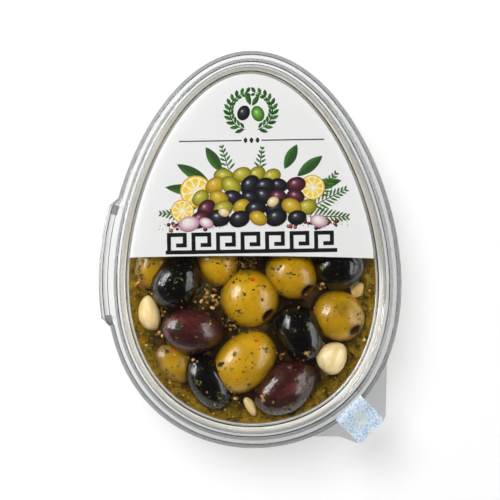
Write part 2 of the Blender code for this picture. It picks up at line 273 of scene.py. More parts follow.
class Piece(NamedTuple):
    """An olive or clove as seen from above: its sizes, and how far its top lies under the heap's top."""

    kind: str
    x: float
    y: float
    length: float
    width: float
    heading: float
    depth: float


# The pieces that show below the label, as a Piece holds them, in millimetres and degrees
SHOWING = (
    ("black", -31.1, -13.1, 22.5, 19.5, 50, 0.0),
    ("green", -14.2, -3.8, 22.0, 16.0, 95, 3.0),
    ("green", -41.6, -6.9, 19.0, 15.0, 70, 6.2),
    ("pitted", -1.6, -19.9, 24.2, 23.6, -42, 0.0),
    ("pitted", 15.4, -10.0, 23.0, 20.0, -48, 1.0),
    ("black", 34.5, -7.7, 21.0, 19.0, 10, 0.6),
    ("pitted", 34.0, -27.2, 22.0, 20.2, -42, 0.8),
    ("black", 18.5, -33.9, 25.0, 19.0, -63, 0.6),
    ("kalamata", -25.0, -32.5, 26.0, 19.2, -8, 0.4),
    ("green", -3.9, -45.3, 28.4, 22.0, 45, 0.0),
    ("kalamata", 12.5, -55.8, 29.0, 20.0, 34, 0.6),
    ("black", -18.6, -53.4, 25.0, 17.5, -57, 3.4),
    ("green", -32.4, -46.2, 21.0, 14.8, -55, 7.6),
    ("garlic", -42.0, -25.0, 14.4, 8.8, 100, 5.6),
    ("garlic", 31.6, -44.2, 13.6, 12.2, 60, 1.6),
    ("garlic", 42.0, -16.4, 10.6, 8.4, 60, 10.0),
    ("garlic", -2.2, -63.4, 8.4, 4.0, -62, 6.4),
)

# Clusters on the fruit and in the gaps: picture column and row, spread in millimetres, how many
SEED_CLUSTERS = (
    (240, 265, 2.6, 12),
    (256, 264, 2.2, 8),
    (209, 295, 4.4, 28),
    (212, 303, 2.0, 6),
    (162, 311, 1.6, 4),
    (157, 335, 1.6, 4),
    (232, 326, 2.6, 9),
    (191, 360, 1.8, 4),
    (282, 356, 2.2, 6),
    (308, 354, 1.8, 6),
    (323, 287, 1.6, 5),
    (236, 399, 1.6, 4),
    (138, 286, 1.6, 4),
    (277, 393, 0.6, 1),
    (174, 338, 1.4, 5),
    (264, 397, 1.6, 5),
)
HERB_CLUSTERS = (
    (235, 283, 1.4, 7),
    (243, 292, 1.6, 8),
    (248, 274, 0.8, 3),
    (263, 286, 1.8, 6),
    (239, 312, 1.8, 12),
    (263, 299, 0.8, 3),
    (276, 267, 1.8, 7),
    (290, 274, 2.0, 8),
    (222, 365, 1.8, 16),
    (232, 370, 1.2, 6),
    (235, 353, 0.6, 3),
    (266, 350, 1.9, 12),
    (247, 385, 1.2, 5),
    (226, 387, 1.0, 3),
    (325, 307, 1.4, 6),
    (336, 310, 2.2, 7),
    (165, 353, 1.6, 9),
    (222, 263, 1.6, 8),
    (149, 265, 2.0, 12),
    (139, 277, 1.6, 8),
    (222, 401, 2.4, 16),
    (205, 292, 3.4, 34),
    (230, 325, 2.4, 12),
    (178, 326, 1.8, 6),
    (219, 371, 1.2, 6),
    (246, 333, 1.0, 6),
    (282, 293, 1.2, 6),
    (294, 330, 1.4, 9),
    (175, 276, 2.2, 12),
    (199, 384, 1.6, 9),
    (323, 268, 1.4, 9),
)

# Chilli flakes: picture column and row, least and greatest length in millimetres
CHILLI_FLAKES = (
    (253, 280, 2.6, 3.2),
    (256, 341, 2.6, 3.2),
    (138, 286, 1.0, 1.9),
    (282, 420, 1.0, 1.9),
    (172, 352, 1.0, 1.9),
    (162, 312, 1.0, 1.9),
    (245, 264, 1.0, 1.9),
)

# Lengths of chopped leaves in millimetres, on the oil and in the clusters
LOOSE_HERB_LENGTHS = (0.4, 0.5, 0.7, 0.9, 1.2, 1.5)
CLUSTER_HERB_LENGTHS = (0.4, 0.5, 0.6, 0.8, 1.0, 1.3, 1.7, 2.2)
LOOSE_HERBS = 900
WALL_HERBS = 1500

# Sizes of crushed seeds in millimetres, and how far under the heap's top they lie at least
CLUSTER_SEED_SIZES = (0.7, 1.9)
CLUSTER_SEED_DEPTH = 2.5 * MM
LOOSE_SEED_SIZES = (0.4, 1.2)
LOOSE_SEED_DEPTH = 3.5 * MM
LOOSE_SEEDS = 90
WALL_SEEDS = 120

# Small things lie this far above what they rest on
HERB_LIFT = 0.02 * MM
CHILLI_LIFT = 0.03 * MM
FLAKE_THICKNESS = 0.12 * MM
FLAKE_SIDES = 7


def linear(hex_colour):
    """An sRGB hex colour as linear red, green, blue and alpha."""
    channels = [int(hex_colour[i : i + 2], 16) / 255 for i in (1, 3, 5)]
    return (*[c / 12.92 if c <= 0.04045 else ((c + 0.055) / 1.055) ** 2.4 for c in channels], 1.0)


def add_node(tree, kind, inputs=None, stops=(), **settings):
    """Adds a shader node: properties, inputs set or linked, and a ramp's (position, hex colour) stops."""
    made = tree.nodes.new(kind)
    for name, value in settings.items():
        setattr(made, name, value)
    for socket, value in (inputs or {}).items():
        if isinstance(value, bpy.types.NodeSocket):
            tree.links.new(value, made.inputs[socket])
        else:
            made.inputs[socket].default_value = value
    if stops:
        elements = made.color_ramp.elements
        for _ in stops[2:]:
            elements.new(0.5)
        for element, (position, hex_colour) in zip(elements, stops):
            element.position = position
            element.color = linear(hex_colour)
    return made


def new_material(name, **surface):
    """A material with one Principled shader whose inputs are set by name, underscores for spaces."""
    material = bpy.data.materials.new(name)
    material.use_nodes = True
    tree = material.node_tree
    shader = tree.nodes["Principled BSDF"]
    for key, value in surface.items():
        shader.inputs[key.replace("_", " ")].default_value = value
    return material, tree, shader


def per_metre(size):
    """Scale of a texture whose features are this large, in metres."""
    return 1 / size


def egg_point(turn, inset, height=0.0):
    """A point of the rim outline at an angle, moved inwards square to it, and with the window's shift."""
    c = math.cos(turn)
    s = math.sin(turn)
    swell = 1 - EGG_TAPER * s + EGG_FULLNESS * s * s
    slope_x = EGG_WIDTH / 2 * (-s * swell + c * c * (2 * EGG_FULLNESS * s - EGG_TAPER))
    slope_y = EGG_LENGTH / 2 * c
    size = math.hypot(slope_x, slope_y)
    inset *= 1 - (1 - TIP_RIM_SHARE) * max(0.0, s) ** 2
    share = min(1.0, max(0.0, (inset - WINDOW_SHIFT_START) / (WINDOW_SHIFT_END - WINDOW_SHIFT_START)))
    x = EGG_WIDTH / 2 * c * swell - inset * slope_y / size + WINDOW_SHIFT[0] * share
    y = EGG_LENGTH / 2 * s + inset * slope_x / size + WINDOW_SHIFT[1] * share
    return Vector((x, y, height))


def egg_ring(inset, height=0.0, steps=RIM_STEPS):
    """Points all round the outline at one inset and height."""
    return [egg_point(math.tau * step / steps, inset, height) for step in range(steps)]


def link_mesh(name, bm, smooth_angle=None):
    """A new smooth object; a closed mesh faces outwards and stays sharp at edges past the angle."""
    if smooth_angle is not None:
        bmesh.ops.recalc_face_normals(bm, faces=bm.faces)
    mesh = bpy.data.meshes.new(name)
    bm.to_mesh(mesh)
    bm.free()
    mesh.shade_smooth()
    if smooth_angle is not None:
        mesh.set_sharp_from_angle(angle=math.radians(smooth_angle))
    obj = bpy.data.objects.new(name, mesh)
    bpy.context.scene.collection.objects.link(obj)
    return obj


def dress(obj, material, body, replaced=()):
    """Gives a piece its material, the body it moves with and the nodes it stands for."""
    obj.data.materials.append(material)
    if body:
        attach(obj, body)
    if replaced:
        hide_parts(*replaced)
    return obj


def rounded_corner(start, corner, end, steps):
    """Points along the curve that rounds a corner."""
    points = []
    for step in range(steps + 1):
        t = step / steps
        points.append((1 - t) ** 2 * start + 2 * t * (1 - t) * corner + t * t * end)
    return points


def rounded_profile(profile):
    """The profile's points with each corner that has a radius turned into an arc."""
    points = []
    for i, (inset, height, radius) in enumerate(profile):
        here = Vector((inset, height))
        if radius == 0:
            points.append(here)
            continue
        before = Vector(profile[i - 1][:2]) - here
        after = Vector(profile[i + 1][:2]) - here
        half = before.angle(after) / 2
        reach = min(radius / math.tan(half), BEND_SIDE_SHARE * min(before.length, after.length))
        start = here + before.normalized() * reach
        end = here + after.normalized() * reach
        points += rounded_corner(start, here, end, BEND_STEPS)
    return points


def offset_profile(points, thickness):
    """The profile moved to the sheet's underside."""
    moved = []
    for i, point in enumerate(points):
        along = points[min(i + 1, len(points) - 1)] - points[max(i - 1, 0)]
        down = Vector((along.y, -along.x)).normalized()
        moved.append(point + down * thickness)
    return moved


def bridge(bm, first, second):
    """Faces between two closed rings of as many vertices."""
    for i, vertex in enumerate(first):
        after = (i + 1) % len(first)
        bm.faces.new((vertex, first[after], second[after], second[i]))


def close_rings(bm, rings):
    """Faces between rings in a row, and one face over each end."""
    for first, second in zip(rings, rings[1:]):
        bridge(bm, first, second)
    bm.faces.new(rings[0][::-1])
    bm.faces.new(rings[-1])


def close_sheets(bm, under, over):
    """Faces of a thin closed sheet from two grids of vertices: both sides and the four edges."""
    for grid in (under, over):
        for first, second in zip(grid, grid[1:]):
            for k in range(len(first) - 1):
                bm.faces.new((first[k], first[k + 1], second[k + 1], second[k]))
    for k in range(len(under[0]) - 1):
        for i in (0, -1):
            bm.faces.new((under[i][k], under[i][k + 1], over[i][k + 1], over[i][k]))
    for i in range(len(under) - 1):
        for k in (0, -1):
            bm.faces.new((under[i][k], under[i + 1][k], over[i + 1][k], over[i][k]))


def hinge_turn(y):
    """The outline's angle at a value of y on the hinge side."""
    return math.pi - math.asin(2 * y / EGG_LENGTH)


def rim_turns():
    """Angles round the rim, closer together at the two ends of the hinge strap."""
    turns = [math.tau * step / RIM_STEPS for step in range(RIM_STEPS)]
    for end, away in ((LEAF_FRONT, -1), (LEAF_BACK, 1)):
        low, high = sorted((hinge_turn(end - away * MM), hinge_turn(end + away * 5 * MM)))
        turns = [turn for turn in turns if not low < turn < high]
        turns += [low + (high - low) * step / STRAP_END_STEPS for step in range(STRAP_END_STEPS + 1)]
    return sorted(turns)


def strap_turns():
    """Angles along the hinge strap, from its back end to its front end."""
    low = hinge_turn(LEAF_BACK)
    high = hinge_turn(LEAF_FRONT)
    return [low + (high - low) * step / STRAP_STEPS for step in range(STRAP_STEPS + 1)]


def past_strap(point):
    """How far a point of the outline lies past the strap's ends, or a large number on the other side."""
    if point.x > 0:
        return EGG_LENGTH
    return max(LEAF_FRONT - point.y, point.y - LEAF_BACK, 0.0)


def rim_point(turn, inset, height, level):
    """A point of the rim; at the hinge its edge swells outwards and stays level instead of turning down."""
    past = past_strap(egg_point(turn, 0))
    swell = max(0.0, 1 - past / LEAF_CHAMFER)
    flat = max(0.0, 1 - past / LEAF_LEVEL_REACH)
    outer_share = max(0.0, 1 - inset / LEAF_ROOT_INSET)
    if outer_share:
        height += (level - height) * flat
    return egg_point(turn, inset - LEAF_BULGE * swell * outer_share, height)


def new_sheet_bmesh():
    """An empty mesh for formed sheet, with room for how matt, and how grey with painted shade, each vertex
    is.
    """
    bm = bmesh.new()
    bm.verts.layers.float.new("frost_and_shade")
    return bm


def formed_sheet(profile):
    """A thermoformed sheet as one closed mesh: its underside, its cut edge and its top."""
    top = rounded_profile(profile)
    under = offset_profile(top, SHEET)
    level = profile[1][1]
    bm = new_sheet_bmesh()
    rings = []
    turns = rim_turns()
    for points, drop in ((under[::-1], SHEET), (top, 0.0)):
        for point in points:
            rings.append([bm.verts.new(rim_point(turn, point.x, point.y, level - drop)) for turn in turns])
    close_rings(bm, rings)
    return bm


def store_frost_and_shade(bm, frosted, frost_and_shade):
    """Stores how matt the mould left the sheet, which also greys it with partly painted shade: the frosted
    vertices, and the strap a little.
    """
    layer = bm.verts.layers.float["frost_and_shade"]
    for vertex in bm.verts:
        vertex[layer] = STRAP_FROST_AND_SHADE * on_strap(vertex.co)
    for vertex in frosted:
        vertex[layer] = frost_and_shade


def on_strap(point):
    """Whether a point lies on the outer part of the hinge strap."""
    if point.x > 0 or past_strap(point) > LEAF_CHAMFER:
        return False
    return point.x < egg_point(hinge_turn(point.y), 0).x - STRAP_INNER_EDGE


def add_plate(bm, outline, bottom, thickness):
    """Adds a closed flat plate with a small chamfer round its edges, and returns its vertices."""
    chamfer = thickness * 0.3
    middle = sum(outline, Vector()) / len(outline)
    rings = []
    for height, inwards in ((0, chamfer), (chamfer, 0), (thickness - chamfer, 0), (thickness, chamfer)):
        ring = []
        for point in outline:
            place = point + (middle - point).normalized() * inwards
            ring.append(bm.verts.new((place.x, place.y, bottom + height)))
        rings.append(ring)
    close_rings(bm, rings)
    return [vertex for ring in rings for vertex in ring]


def add_strap_rib(bm):
    """The narrow rib that bounds the strap on the lid, with its two ends turned in towards the bead."""
    turns = strap_turns()
    path = []
    for step in range(9):
        path.append(egg_point(turns[-1], LEAF_ROOT_INSET - (LEAF_ROOT_INSET + STRAP_INNER_EDGE) * step / 8))
    for turn in turns[-2:0:-1]:
        path.append(egg_point(turn, -STRAP_INNER_EDGE))
    for step in range(9):
        path.append(egg_point(turns[0], (LEAF_ROOT_INSET + STRAP_INNER_EDGE) * step / 8 - STRAP_INNER_EDGE))
    rings = []
    for i, point in enumerate(path):
        along = (path[min(i + 1, len(path) - 1)] - path[max(i - 1, 0)]).normalized()
        side = Vector((-along.y, along.x, 0)) * RIB_WIDTH / 2
        base = Vector((point.x, point.y, LID_RIM_TOP - RIB_SUNK))
        top = base + Vector((0, 0, RIB_HEIGHT))
        corners = (base - side, base + side, top + side * RIB_TOP_SHARE, top - side * RIB_TOP_SHARE)
        rings.append([bm.verts.new(corner) for corner in corners])
    close_rings(bm, rings)


def add_strap_stops(bm):
    """Adds the small blocks that close the strap's slot at its two ends, and returns their vertices."""
    made = []
    for low_y, high_y in STRAP_STOPS:
        outer = []
        inner = []
        for step in range(7):
            turn = hinge_turn(low_y + (high_y - low_y) * step / 6)
            swell = max(0.0, 1 - past_strap(egg_point(turn, 0)) / LEAF_CHAMFER)
            outer.append(egg_point(turn, STOP_INSETS[0] - min(STRAP_INNER_EDGE, LEAF_BULGE * swell)))
            inner.append(egg_point(turn, STOP_INSETS[1]))
        made += add_plate(bm, outer + inner[::-1], LID_RIM_TOP - STOP_SUNK, STOP_THICKNESS)
    return made


def make_lid(plastic):
    """The lid's sheet with the rib and the matt stops of its hinge strap."""
    bm = formed_sheet(LID_PROFILE)
    add_strap_rib(bm)
    stops = add_strap_stops(bm)
    store_frost_and_shade(bm, stops, STOP_FROST_AND_SHADE)
    return dress(link_mesh("lid_shell", bm, 40), plastic, "lid", ["lid"])


def make_tub(plastic):
    """The tub's sheet with its opening tab; the ledge is milky cream, which is painted light."""
    bm = formed_sheet(TUB_PROFILE)
    corners = [Vector((x, y, 0)) for x, y in TAB_CORNERS]
    root = []
    for point in egg_ring(TAB_ROOT_INSET, steps=144):
        if corners[-1].x < point.x and corners[-1].y < point.y < corners[0].y:
            root.append(point)
    root.sort(key=lambda point: point.y)
    tab = add_plate(bm, rounded_path(corners, TAB_CORNER_RADIUS) + root, TAB_TOP - SHEET, SHEET)
    store_frost_and_shade(bm, tab, TAB_FROST_AND_SHADE)
    lowest, highest = LEDGE_HEIGHTS
    for face in bm.faces:
        if lowest < face.calc_center_median().z < highest:
            face.material_index = 1
    shell = dress(link_mesh("tub_shell", bm, 40), plastic, "tub", ["tub"])
    shell.data.materials.append(ledge_pet_painted_light())
    return shell


def rounded_path(corners, radius):
    """The corners' path with each inner corner turned into a short arc."""
    path = [corners[0]]
    for before, here, after in zip(corners, corners[1:], corners[2:]):
        start = here + (before - here).normalized() * radius
        end = here + (after - here).normalized() * radius
        path += rounded_corner(start, here, end, 4)
    return path + [corners[-1]]


def make_hinge_film(plastic):
    """The folded strap: a ribbon that runs from the tub's edge round the fold to the lid's edge."""
    bm = new_sheet_bmesh()
    sides = []
    for depth in (0.0, FILM_THICKNESS):
        rows = []
        for turn in strap_turns():
            row = []
            for step in range(FILM_STEPS + 1):
                angle = math.pi * (step / FILM_STEPS - 0.5)
                out = (FILM_BULGE - LEAF_BULGE - depth) * math.cos(angle)
                up = (FILM_RISE - depth) * math.sin(angle)
                row.append(bm.verts.new(egg_point(turn, FILM_OVERLAP - LEAF_BULGE - out, FOLD_HEIGHT + up)))
            rows.append(row)
        sides.append(rows)
    close_sheets(bm, *sides)
    store_frost_and_shade(bm, bm.verts, STRAP_FROST_AND_SHADE)
    film = dress(link_mesh("hinge_film", bm, 50), plastic, None)
    low = (0, 0, FOLD_HEIGHT - 0.5 * MM)
    high = (0, 0, FOLD_HEIGHT + 0.5 * MM)
    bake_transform(film, "tub", "lid", start=low, end=high)


def label_outline():
    """The label's outline: the egg inside the window, cut off along a slightly arched lower edge."""
    def edge_y(x):
        return LABEL_EDGE_Y + LABEL_EDGE_SLOPE * x

    sides = [point for point in egg_ring(LABEL_INSET, steps=200) if point.y > edge_y(point.x) + MM]
    sides.sort(key=lambda point: math.atan2(point.y - LABEL_EDGE_Y, point.x))
    right = sides[0].x + LABEL_CORNER
    left = sides[-1].x - LABEL_CORNER
    edge = []
    for step in range(33):
        x = left + (right - left) * step / 32
        across = 2 * step / 32 - 1
        edge.append(Vector((x, edge_y(x) + LABEL_EDGE_ARCH * (1 - across * across), 0)))
    return edge + sides


def make_label():
    """The blank label film on the lid's panel."""
    bm = bmesh.new()
    add_plate(bm, label_outline(), LABEL_BOTTOM, LABEL_THICKNESS)
    return dress(link_mesh("label_film", bm, 30), coated_label_film(), "lid", ["label"])


def wall_inset(height):
    """How far the tub's inner face lies inside the outline at a height."""
    for (high_inset, high, _), (low_inset, low, _) in zip(TUB_PROFILE, TUB_PROFILE[1:]):
        if low <= height <= high and low < high:
            return low_inset + (high_inset - low_inset) * (height - low) / (high - low)
    return TUB_PROFILE[-1][0]


def mean_reach(piece):
    """A piece's mean radius as seen from above."""
    return (piece.length + piece.width) / 4


def reach_towards(piece, direction):
    """How far a piece reaches from its centre in a direction."""
    turn = math.atan2(direction.y, direction.x) - piece.heading
    return math.hypot(piece.length / 2 * math.cos(turn), piece.width / 2 * math.sin(turn))


def centre_of(piece):
    """The centre of a piece, moved away from the nearest stretch of wall until it clears it."""
    height = min(HEAP_TOP - piece.depth - piece.width / 2, CORE_TOP - SUNK_AT_LEAST + piece.width / 2)
    centre = Vector((piece.x, piece.y, height))
    wall = egg_ring(wall_inset(height), height, 144)
    for _ in range(WALL_ROUNDS):
        nearest = min(wall, key=lambda point: (point - centre).length)
        inwards = centre - nearest
        short = reach_towards(piece, inwards) + 2 * GAP - inwards.length
        if short <= 0:
            break
        centre += inwards.normalized() * short
    return centre


def showing_pieces():
    """The pieces that show, in metres and radians."""
    for kind, x, y, length, width, heading, depth in SHOWING:
        yield Piece(kind, x * MM, y * MM, length * MM, width * MM, math.radians(heading), depth * MM)


def half_width(y, height):
    """Half the tub's inner width at a value of y and at a height."""
    ring = egg_ring(wall_inset(height), steps=72)
    return max(point.x for point in ring if abs(point.y - y) < 4 * MM)


def hidden_pieces():
    """Olives under the label, in staggered rows, each a little out of line."""
    rng = random.Random(HEAP_SEED)
    rows = int((LAST_ROW_Y - FIRST_ROW_Y) / ROW_SPACING) + 1
    for row in range(rows):
        y = FIRST_ROW_Y + row * ROW_SPACING
        half = half_width(y, CORE_TOP)
        count = max(1, round(2 * half / OLIVE_SPACING))
        for column in range(count):
            x = ((2 * column + 1) / count - 1) * half + rng.uniform(-1.5, 1.5) * MM
            kind = HIDDEN_KINDS[(column + row) % len(HIDDEN_KINDS)]
            length = rng.uniform(20.5, 25) * MM
            width = length * rng.uniform(0.76, 0.88)
            heading = rng.uniform(0, math.pi)
            yield Piece(kind, x, y + rng.uniform(-2, 2) * MM, length, width, heading, rng.uniform(0, 2) * MM)


def settled(fixed, loose):
    """Pushes the loose pieces off each other, off the fixed ones and off the wall."""
    for _ in range(SETTLING_ROUNDS):
        for i, piece in enumerate(loose):
            centre = centre_of(piece)
            for other in fixed + loose[:i] + loose[i + 1 :]:
                apart = centre - centre_of(other)
                apart.z = 0
                short = mean_reach(piece) + mean_reach(other) - apart.length
                if short > 0:
                    centre += apart.normalized() * short / 2
            loose[i] = piece._replace(x=centre.x, y=centre.y)
    return fixed + loose


def deeper_pieces():
    """The olives of the layer underneath, which show dimly through the oil and at the tub's side."""
    rng = random.Random(HEAP_SEED + 1)
    y = -DEEP_ROWS_END
    while y < DEEP_ROWS_END:
        half = half_width(y, BASE_TOP + 10 * MM)
        count = max(1, int(2 * half / DEEP_SPACING))
        for column in range(count):
            x = ((2 * column + 1) / count - 1) * (half - 1.5 * MM)
            kind = rng.choice(DEEP_KINDS)
            length = rng.uniform(20, 23) * MM
            width = length * rng.uniform(0.74, 0.82)
            depth = HEAP_TOP - BASE_TOP - width - rng.uniform(0.3, 1.5) * MM
            yield Piece(kind, x, y, length, width, rng.uniform(0, math.pi), depth)
        y += DEEP_SPACING * 0.87


def fruit_profile(kind, rings):
    """Stations (along, radius) from one end of a fruit to the other, in shares of its half sizes."""
    stations = []
    for ring in range(1, rings):
        turn = math.pi * ring / rings
        along = -math.cos(turn)
        radius = math.sin(turn) ** BLUNTNESS[kind]
        if kind == "kalamata":
            radius *= 1 - KALAMATA_POINT * max(0.0, along) ** 1.5
        stations.append((along, radius))
    return stations


def pit_hole_profile(stations, hole_share):
    """The same stations, ending in a round hole with a turned-in rim instead of a closed end."""
    kept = [(along, radius) for along, radius in stations if along < 0 or radius > hole_share * 1.35]
    last = kept[-1][0]
    rim = [(last + ahead, hole_share * share) for ahead, share in PIT_RIM]
    tunnel = [(last - depth, hole_share * (0.9 - depth * 0.3)) for depth in PIT_DEPTHS]
    return kept + rim + tunnel


def new_fruit_bmesh():
    """An empty mesh with what the skins read: skin coordinates, the fruit's tone, and where the pit was."""
    bm = bmesh.new()
    layers = {
        "skin": bm.verts.layers.float_vector.new("skin"),
        "tone": bm.verts.layers.float.new("tone"),
        "pit": bm.verts.layers.float.new("pit"),
    }
    return bm, layers


def random_shift(rng):
    """A random place in the noise, so that no two things are uneven alike."""
    return Vector((rng.uniform(-9, 9), rng.uniform(-9, 9), rng.uniform(-9, 9)))


def close_fruit(bm, layers, rings):
    """Joins a fruit's rings, and closes each end with a point that takes over the last ring's values."""
    for first, second in zip(rings, rings[1:]):
        bridge(bm, first, second)
    for ring, flip in ((rings[0], True), (rings[-1], False)):
        end = bm.verts.new(sum((vertex.co for vertex in ring), Vector()) / len(ring))
        for layer in layers.values():
            end[layer] = ring[0][layer]
        for i, vertex in enumerate(ring):
            after = ring[(i + 1) % len(ring)]
            bm.faces.new((vertex, end, after) if flip else (after, end, vertex))


def add_fruit(bm, layers, piece, centre, rng, segments, tilt):
    """Adds one olive: a turned profile, uneven by low and high noise, with its skin coordinates stored."""
    stations = fruit_profile(piece.kind, max(10, segments * 5 // 8))
    pit_start = len(stations)
    if piece.kind == "pitted":
        stations = pit_hole_profile(stations, PIT_HOLE_RADIUS / (piece.width / 2))
        pit_start = len(stations) - len(PIT_RIM) - len(PIT_DEPTHS)
    half = Vector((piece.length / 2, piece.width / 2, piece.width / 2))
    turn = Matrix.Rotation(piece.heading, 3, "Z") @ Matrix.Rotation(-tilt, 3, "Y")
    roll = Matrix.Rotation(rng.uniform(0, math.tau), 3, "X")
    shift = random_shift(rng)
    skew = rng.uniform(-0.05, 0.05)
    tone = rng.random()
    rough = UNEVENNESS[piece.kind]
    rings = []
    for index, (along, radius) in enumerate(stations):
        ring = []
        for step in range(segments):
            angle = math.tau * step / segments
            local = Vector((along, radius * math.cos(angle), radius * math.sin(angle)))
            swell = 1 + skew * along
            swell += rough * noise.noise(local * 1.3 + shift)
            swell += 0.25 * rough * noise.noise(local * 5 + shift)
            place = roll @ Vector((local.x * (1 + 0.4 * (swell - 1)), local.y * swell, local.z * swell))
            vertex = bm.verts.new(turn @ (place * half) + centre)
            vertex[layers["skin"]] = local * half + shift
            vertex[layers["tone"]] = tone
            vertex[layers["pit"]] = 1.0 if index >= pit_start else 0.0
            ring.append(vertex)
        rings.append(ring)
    close_fruit(bm, layers, rings)


def add_clove(bm, layers, piece, centre, rng, segments, tilt):
    """Adds one peeled garlic clove: a plump bent teardrop, flatter on its inner side."""
    ring_count = segments * 5 // 8
    turn = Matrix.Rotation(piece.heading, 3, "Z") @ Matrix.Rotation(-tilt, 3, "Y")
    shift = random_shift(rng)
    tone = rng.random()
    rings = []
    for index in range(1, ring_count):
        along = -math.cos(math.pi * index / ring_count)
        radius = math.sin(math.pi * index / ring_count) * (1 - CLOVE_TAPER * along)
        bend = CLOVE_BEND * (0.4 - along * along)
        ring = []
        for step in range(segments):
            angle = math.tau * step / segments
            side = radius * math.cos(angle)
            up = radius * math.sin(angle)
            side *= CLOVE_FLATNESS if side < 0 else 1 + CLOVE_RIDGES * math.cos(3 * angle)
            up *= 1 + CLOVE_UNEVENNESS * noise.noise(Vector((along, side, up)) * 2 + shift)
            local = Vector((along * piece.length / 2, (side + bend) * piece.width / 2, up * piece.width / 2))
            vertex = bm.verts.new(turn @ local + centre)
            vertex[layers["skin"]] = local + shift
            vertex[layers["tone"]] = tone
            ring.append(vertex)
        rings.append(ring)
    close_fruit(bm, layers, rings)


def make_contents():
    """All olives and cloves, one piece for each kind."""
    rng = random.Random(HEAP_SEED + 2)
    showing = list(showing_pieces())
    top = settled(showing, list(hidden_pieces()))
    skins = {
        "green": green_olive_skin("Green olive, cured and oiled"),
        "pitted": green_olive_skin("Pitted green olive, cured and oiled"),
        "black": black_olive_skin(),
        "kalamata": kalamata_skin(),
        "garlic": peeled_garlic(),
    }
    meshes = {kind: new_fruit_bmesh() for kind in skins}
    for number, piece in enumerate(top):
        bm, layers = meshes[piece.kind]
        segments = SHOWN_SEGMENTS if number < len(showing) else HIDDEN_SEGMENTS
        tilt = PITTED_TILT if piece.kind == "pitted" else rng.uniform(-0.15, 0.15)
        add = add_clove if piece.kind == "garlic" else add_fruit
        add(bm, layers, piece, centre_of(piece), rng, segments, tilt)
    for piece in deeper_pieces():
        bm, layers = meshes[piece.kind]
        add_fruit(bm, layers, piece, centre_of(piece), rng, DEEP_SEGMENTS, rng.uniform(-0.15, 0.15))
    made = {}
    for kind, (bm, _) in meshes.items():
        name = "garlic_cloves" if kind == "garlic" else f"{kind}_olives"
        made[kind] = dress(link_mesh(name, bm, 60), skins[kind], "tub", ["olives"])
    return top, made


def oil_rise(place, share, fruit):
    """How far the oil stands above its level: it creeps up the wall and the fruit, and it ripples."""
    rise = OIL_CREEP_AT_WALL * math.exp(-share * 60)
    for centre, reach in fruit:
        across = (place.xy - centre.xy).length
        under = OIL_LEVEL - centre.z
        wet = math.sqrt(max(0.0, reach * reach - under * under))
        if wet and abs(across - wet) < 4 * MM:
            rise += OIL_CREEP_AT_FRUIT * math.exp(-abs(across - wet) / OIL_CREEP_REACH)
    return min(rise, OIL_CREEP_MOST) + OIL_RIPPLE * noise.noise(place * 120)


def make_oil(pieces):
    """The oil as one closed body that reaches just into the tub's wall."""
    bm = bmesh.new()
    oil_shade = bm.verts.layers.float.new("oil_shade")
    rim_inset = wall_inset(OIL_LEVEL) - OIL_IN_WALL
    profile = [(rim_inset, OIL_LEVEL + OIL_CREEP_AT_WALL)]
    for inset, height, _ in TUB_PROFILE[2:-1]:
        if height < OIL_LEVEL:
            profile.append((inset - OIL_IN_WALL * 0.8, height - OIL_IN_WALL * 0.5))
    rings = []
    for inset, height in reversed(profile):
        rings.append([bm.verts.new(point) for point in egg_ring(inset, height, OIL_STEPS)])
    fruit = [(centre_of(piece), mean_reach(piece)) for piece in pieces]
    for index in range(1, OIL_RINGS):
        share = index / OIL_RINGS
        ring = []
        for step in range(OIL_STEPS):
            edge = egg_point(math.tau * step / OIL_STEPS, rim_inset)
            place = edge * (1 - share)
            vertex = bm.verts.new((place.x, place.y, OIL_LEVEL + oil_rise(place, share, fruit)))
            # Share of painted shade: none by the wall, where light comes in golden, and more further in,
            # between the fruit.
            from_wall = edge.length - place.length + OIL_LIT_BAND * noise.noise(place * 160)
            vertex[oil_shade] = min(1.0, max(0.0, (from_wall - OIL_LIT_BAND) / OIL_SHADE_SPREAD))
            ring.append(vertex)
        rings.append(ring)
    close_rings(bm, rings)
    return dress(link_mesh("oil", bm, 60), herb_oil(), "tub", ["olives"])


def surface_tree(objects):
    """A search tree over the upper faces of some objects."""
    vertices = []
    polygons = []
    for obj in objects:
        start = len(vertices)
        world = obj.matrix_world
        vertices += [world @ vertex.co for vertex in obj.data.vertices]
        polygons += [[start + index for index in polygon.vertices] for polygon in obj.data.polygons]
    return BVHTree.FromPolygons(vertices, polygons)


def resting_place(tree, x, y):
    """Where something dropped at a point comes to lie, and the surface's upward normal there."""
    place, normal, _, _ = tree.ray_cast(Vector((x, y, HEAP_TOP + 2 * MM)), Vector((0, 0, -1)))
    if place is None:
        return None, None
    return place, (normal if normal.z > 0 else -normal)


def lying(place, normal, spin, lift):
    """Matrix of a small thing lying on a surface."""
    tilt = Vector((0, 0, 1)).rotation_difference(normal).to_matrix().to_4x4()
    return Matrix.Translation(place + normal * lift) @ tilt @ Matrix.Rotation(spin, 4, "Z")


def add_flake(bm, matrix, length, width, curl, rng):
    """Adds one chopped leaf or skin flake: a thin bent plate with an uneven outline."""
    outline = []
    for step in range(FLAKE_SIDES):
        angle = math.tau * step / FLAKE_SIDES
        reach = rng.uniform(0.65, 1.0)
        outline.append((math.cos(angle) * length / 2 * reach, math.sin(angle) * width / 2 * reach))
    rings = []
    for height in (0.0, FLAKE_THICKNESS):
        ring = []
        for x, y in outline:
            bend = curl * x * x / length
            ring.append(bm.verts.new(matrix @ Vector((x, y, height + bend))))
        rings.append(ring)
    close_rings(bm, rings)


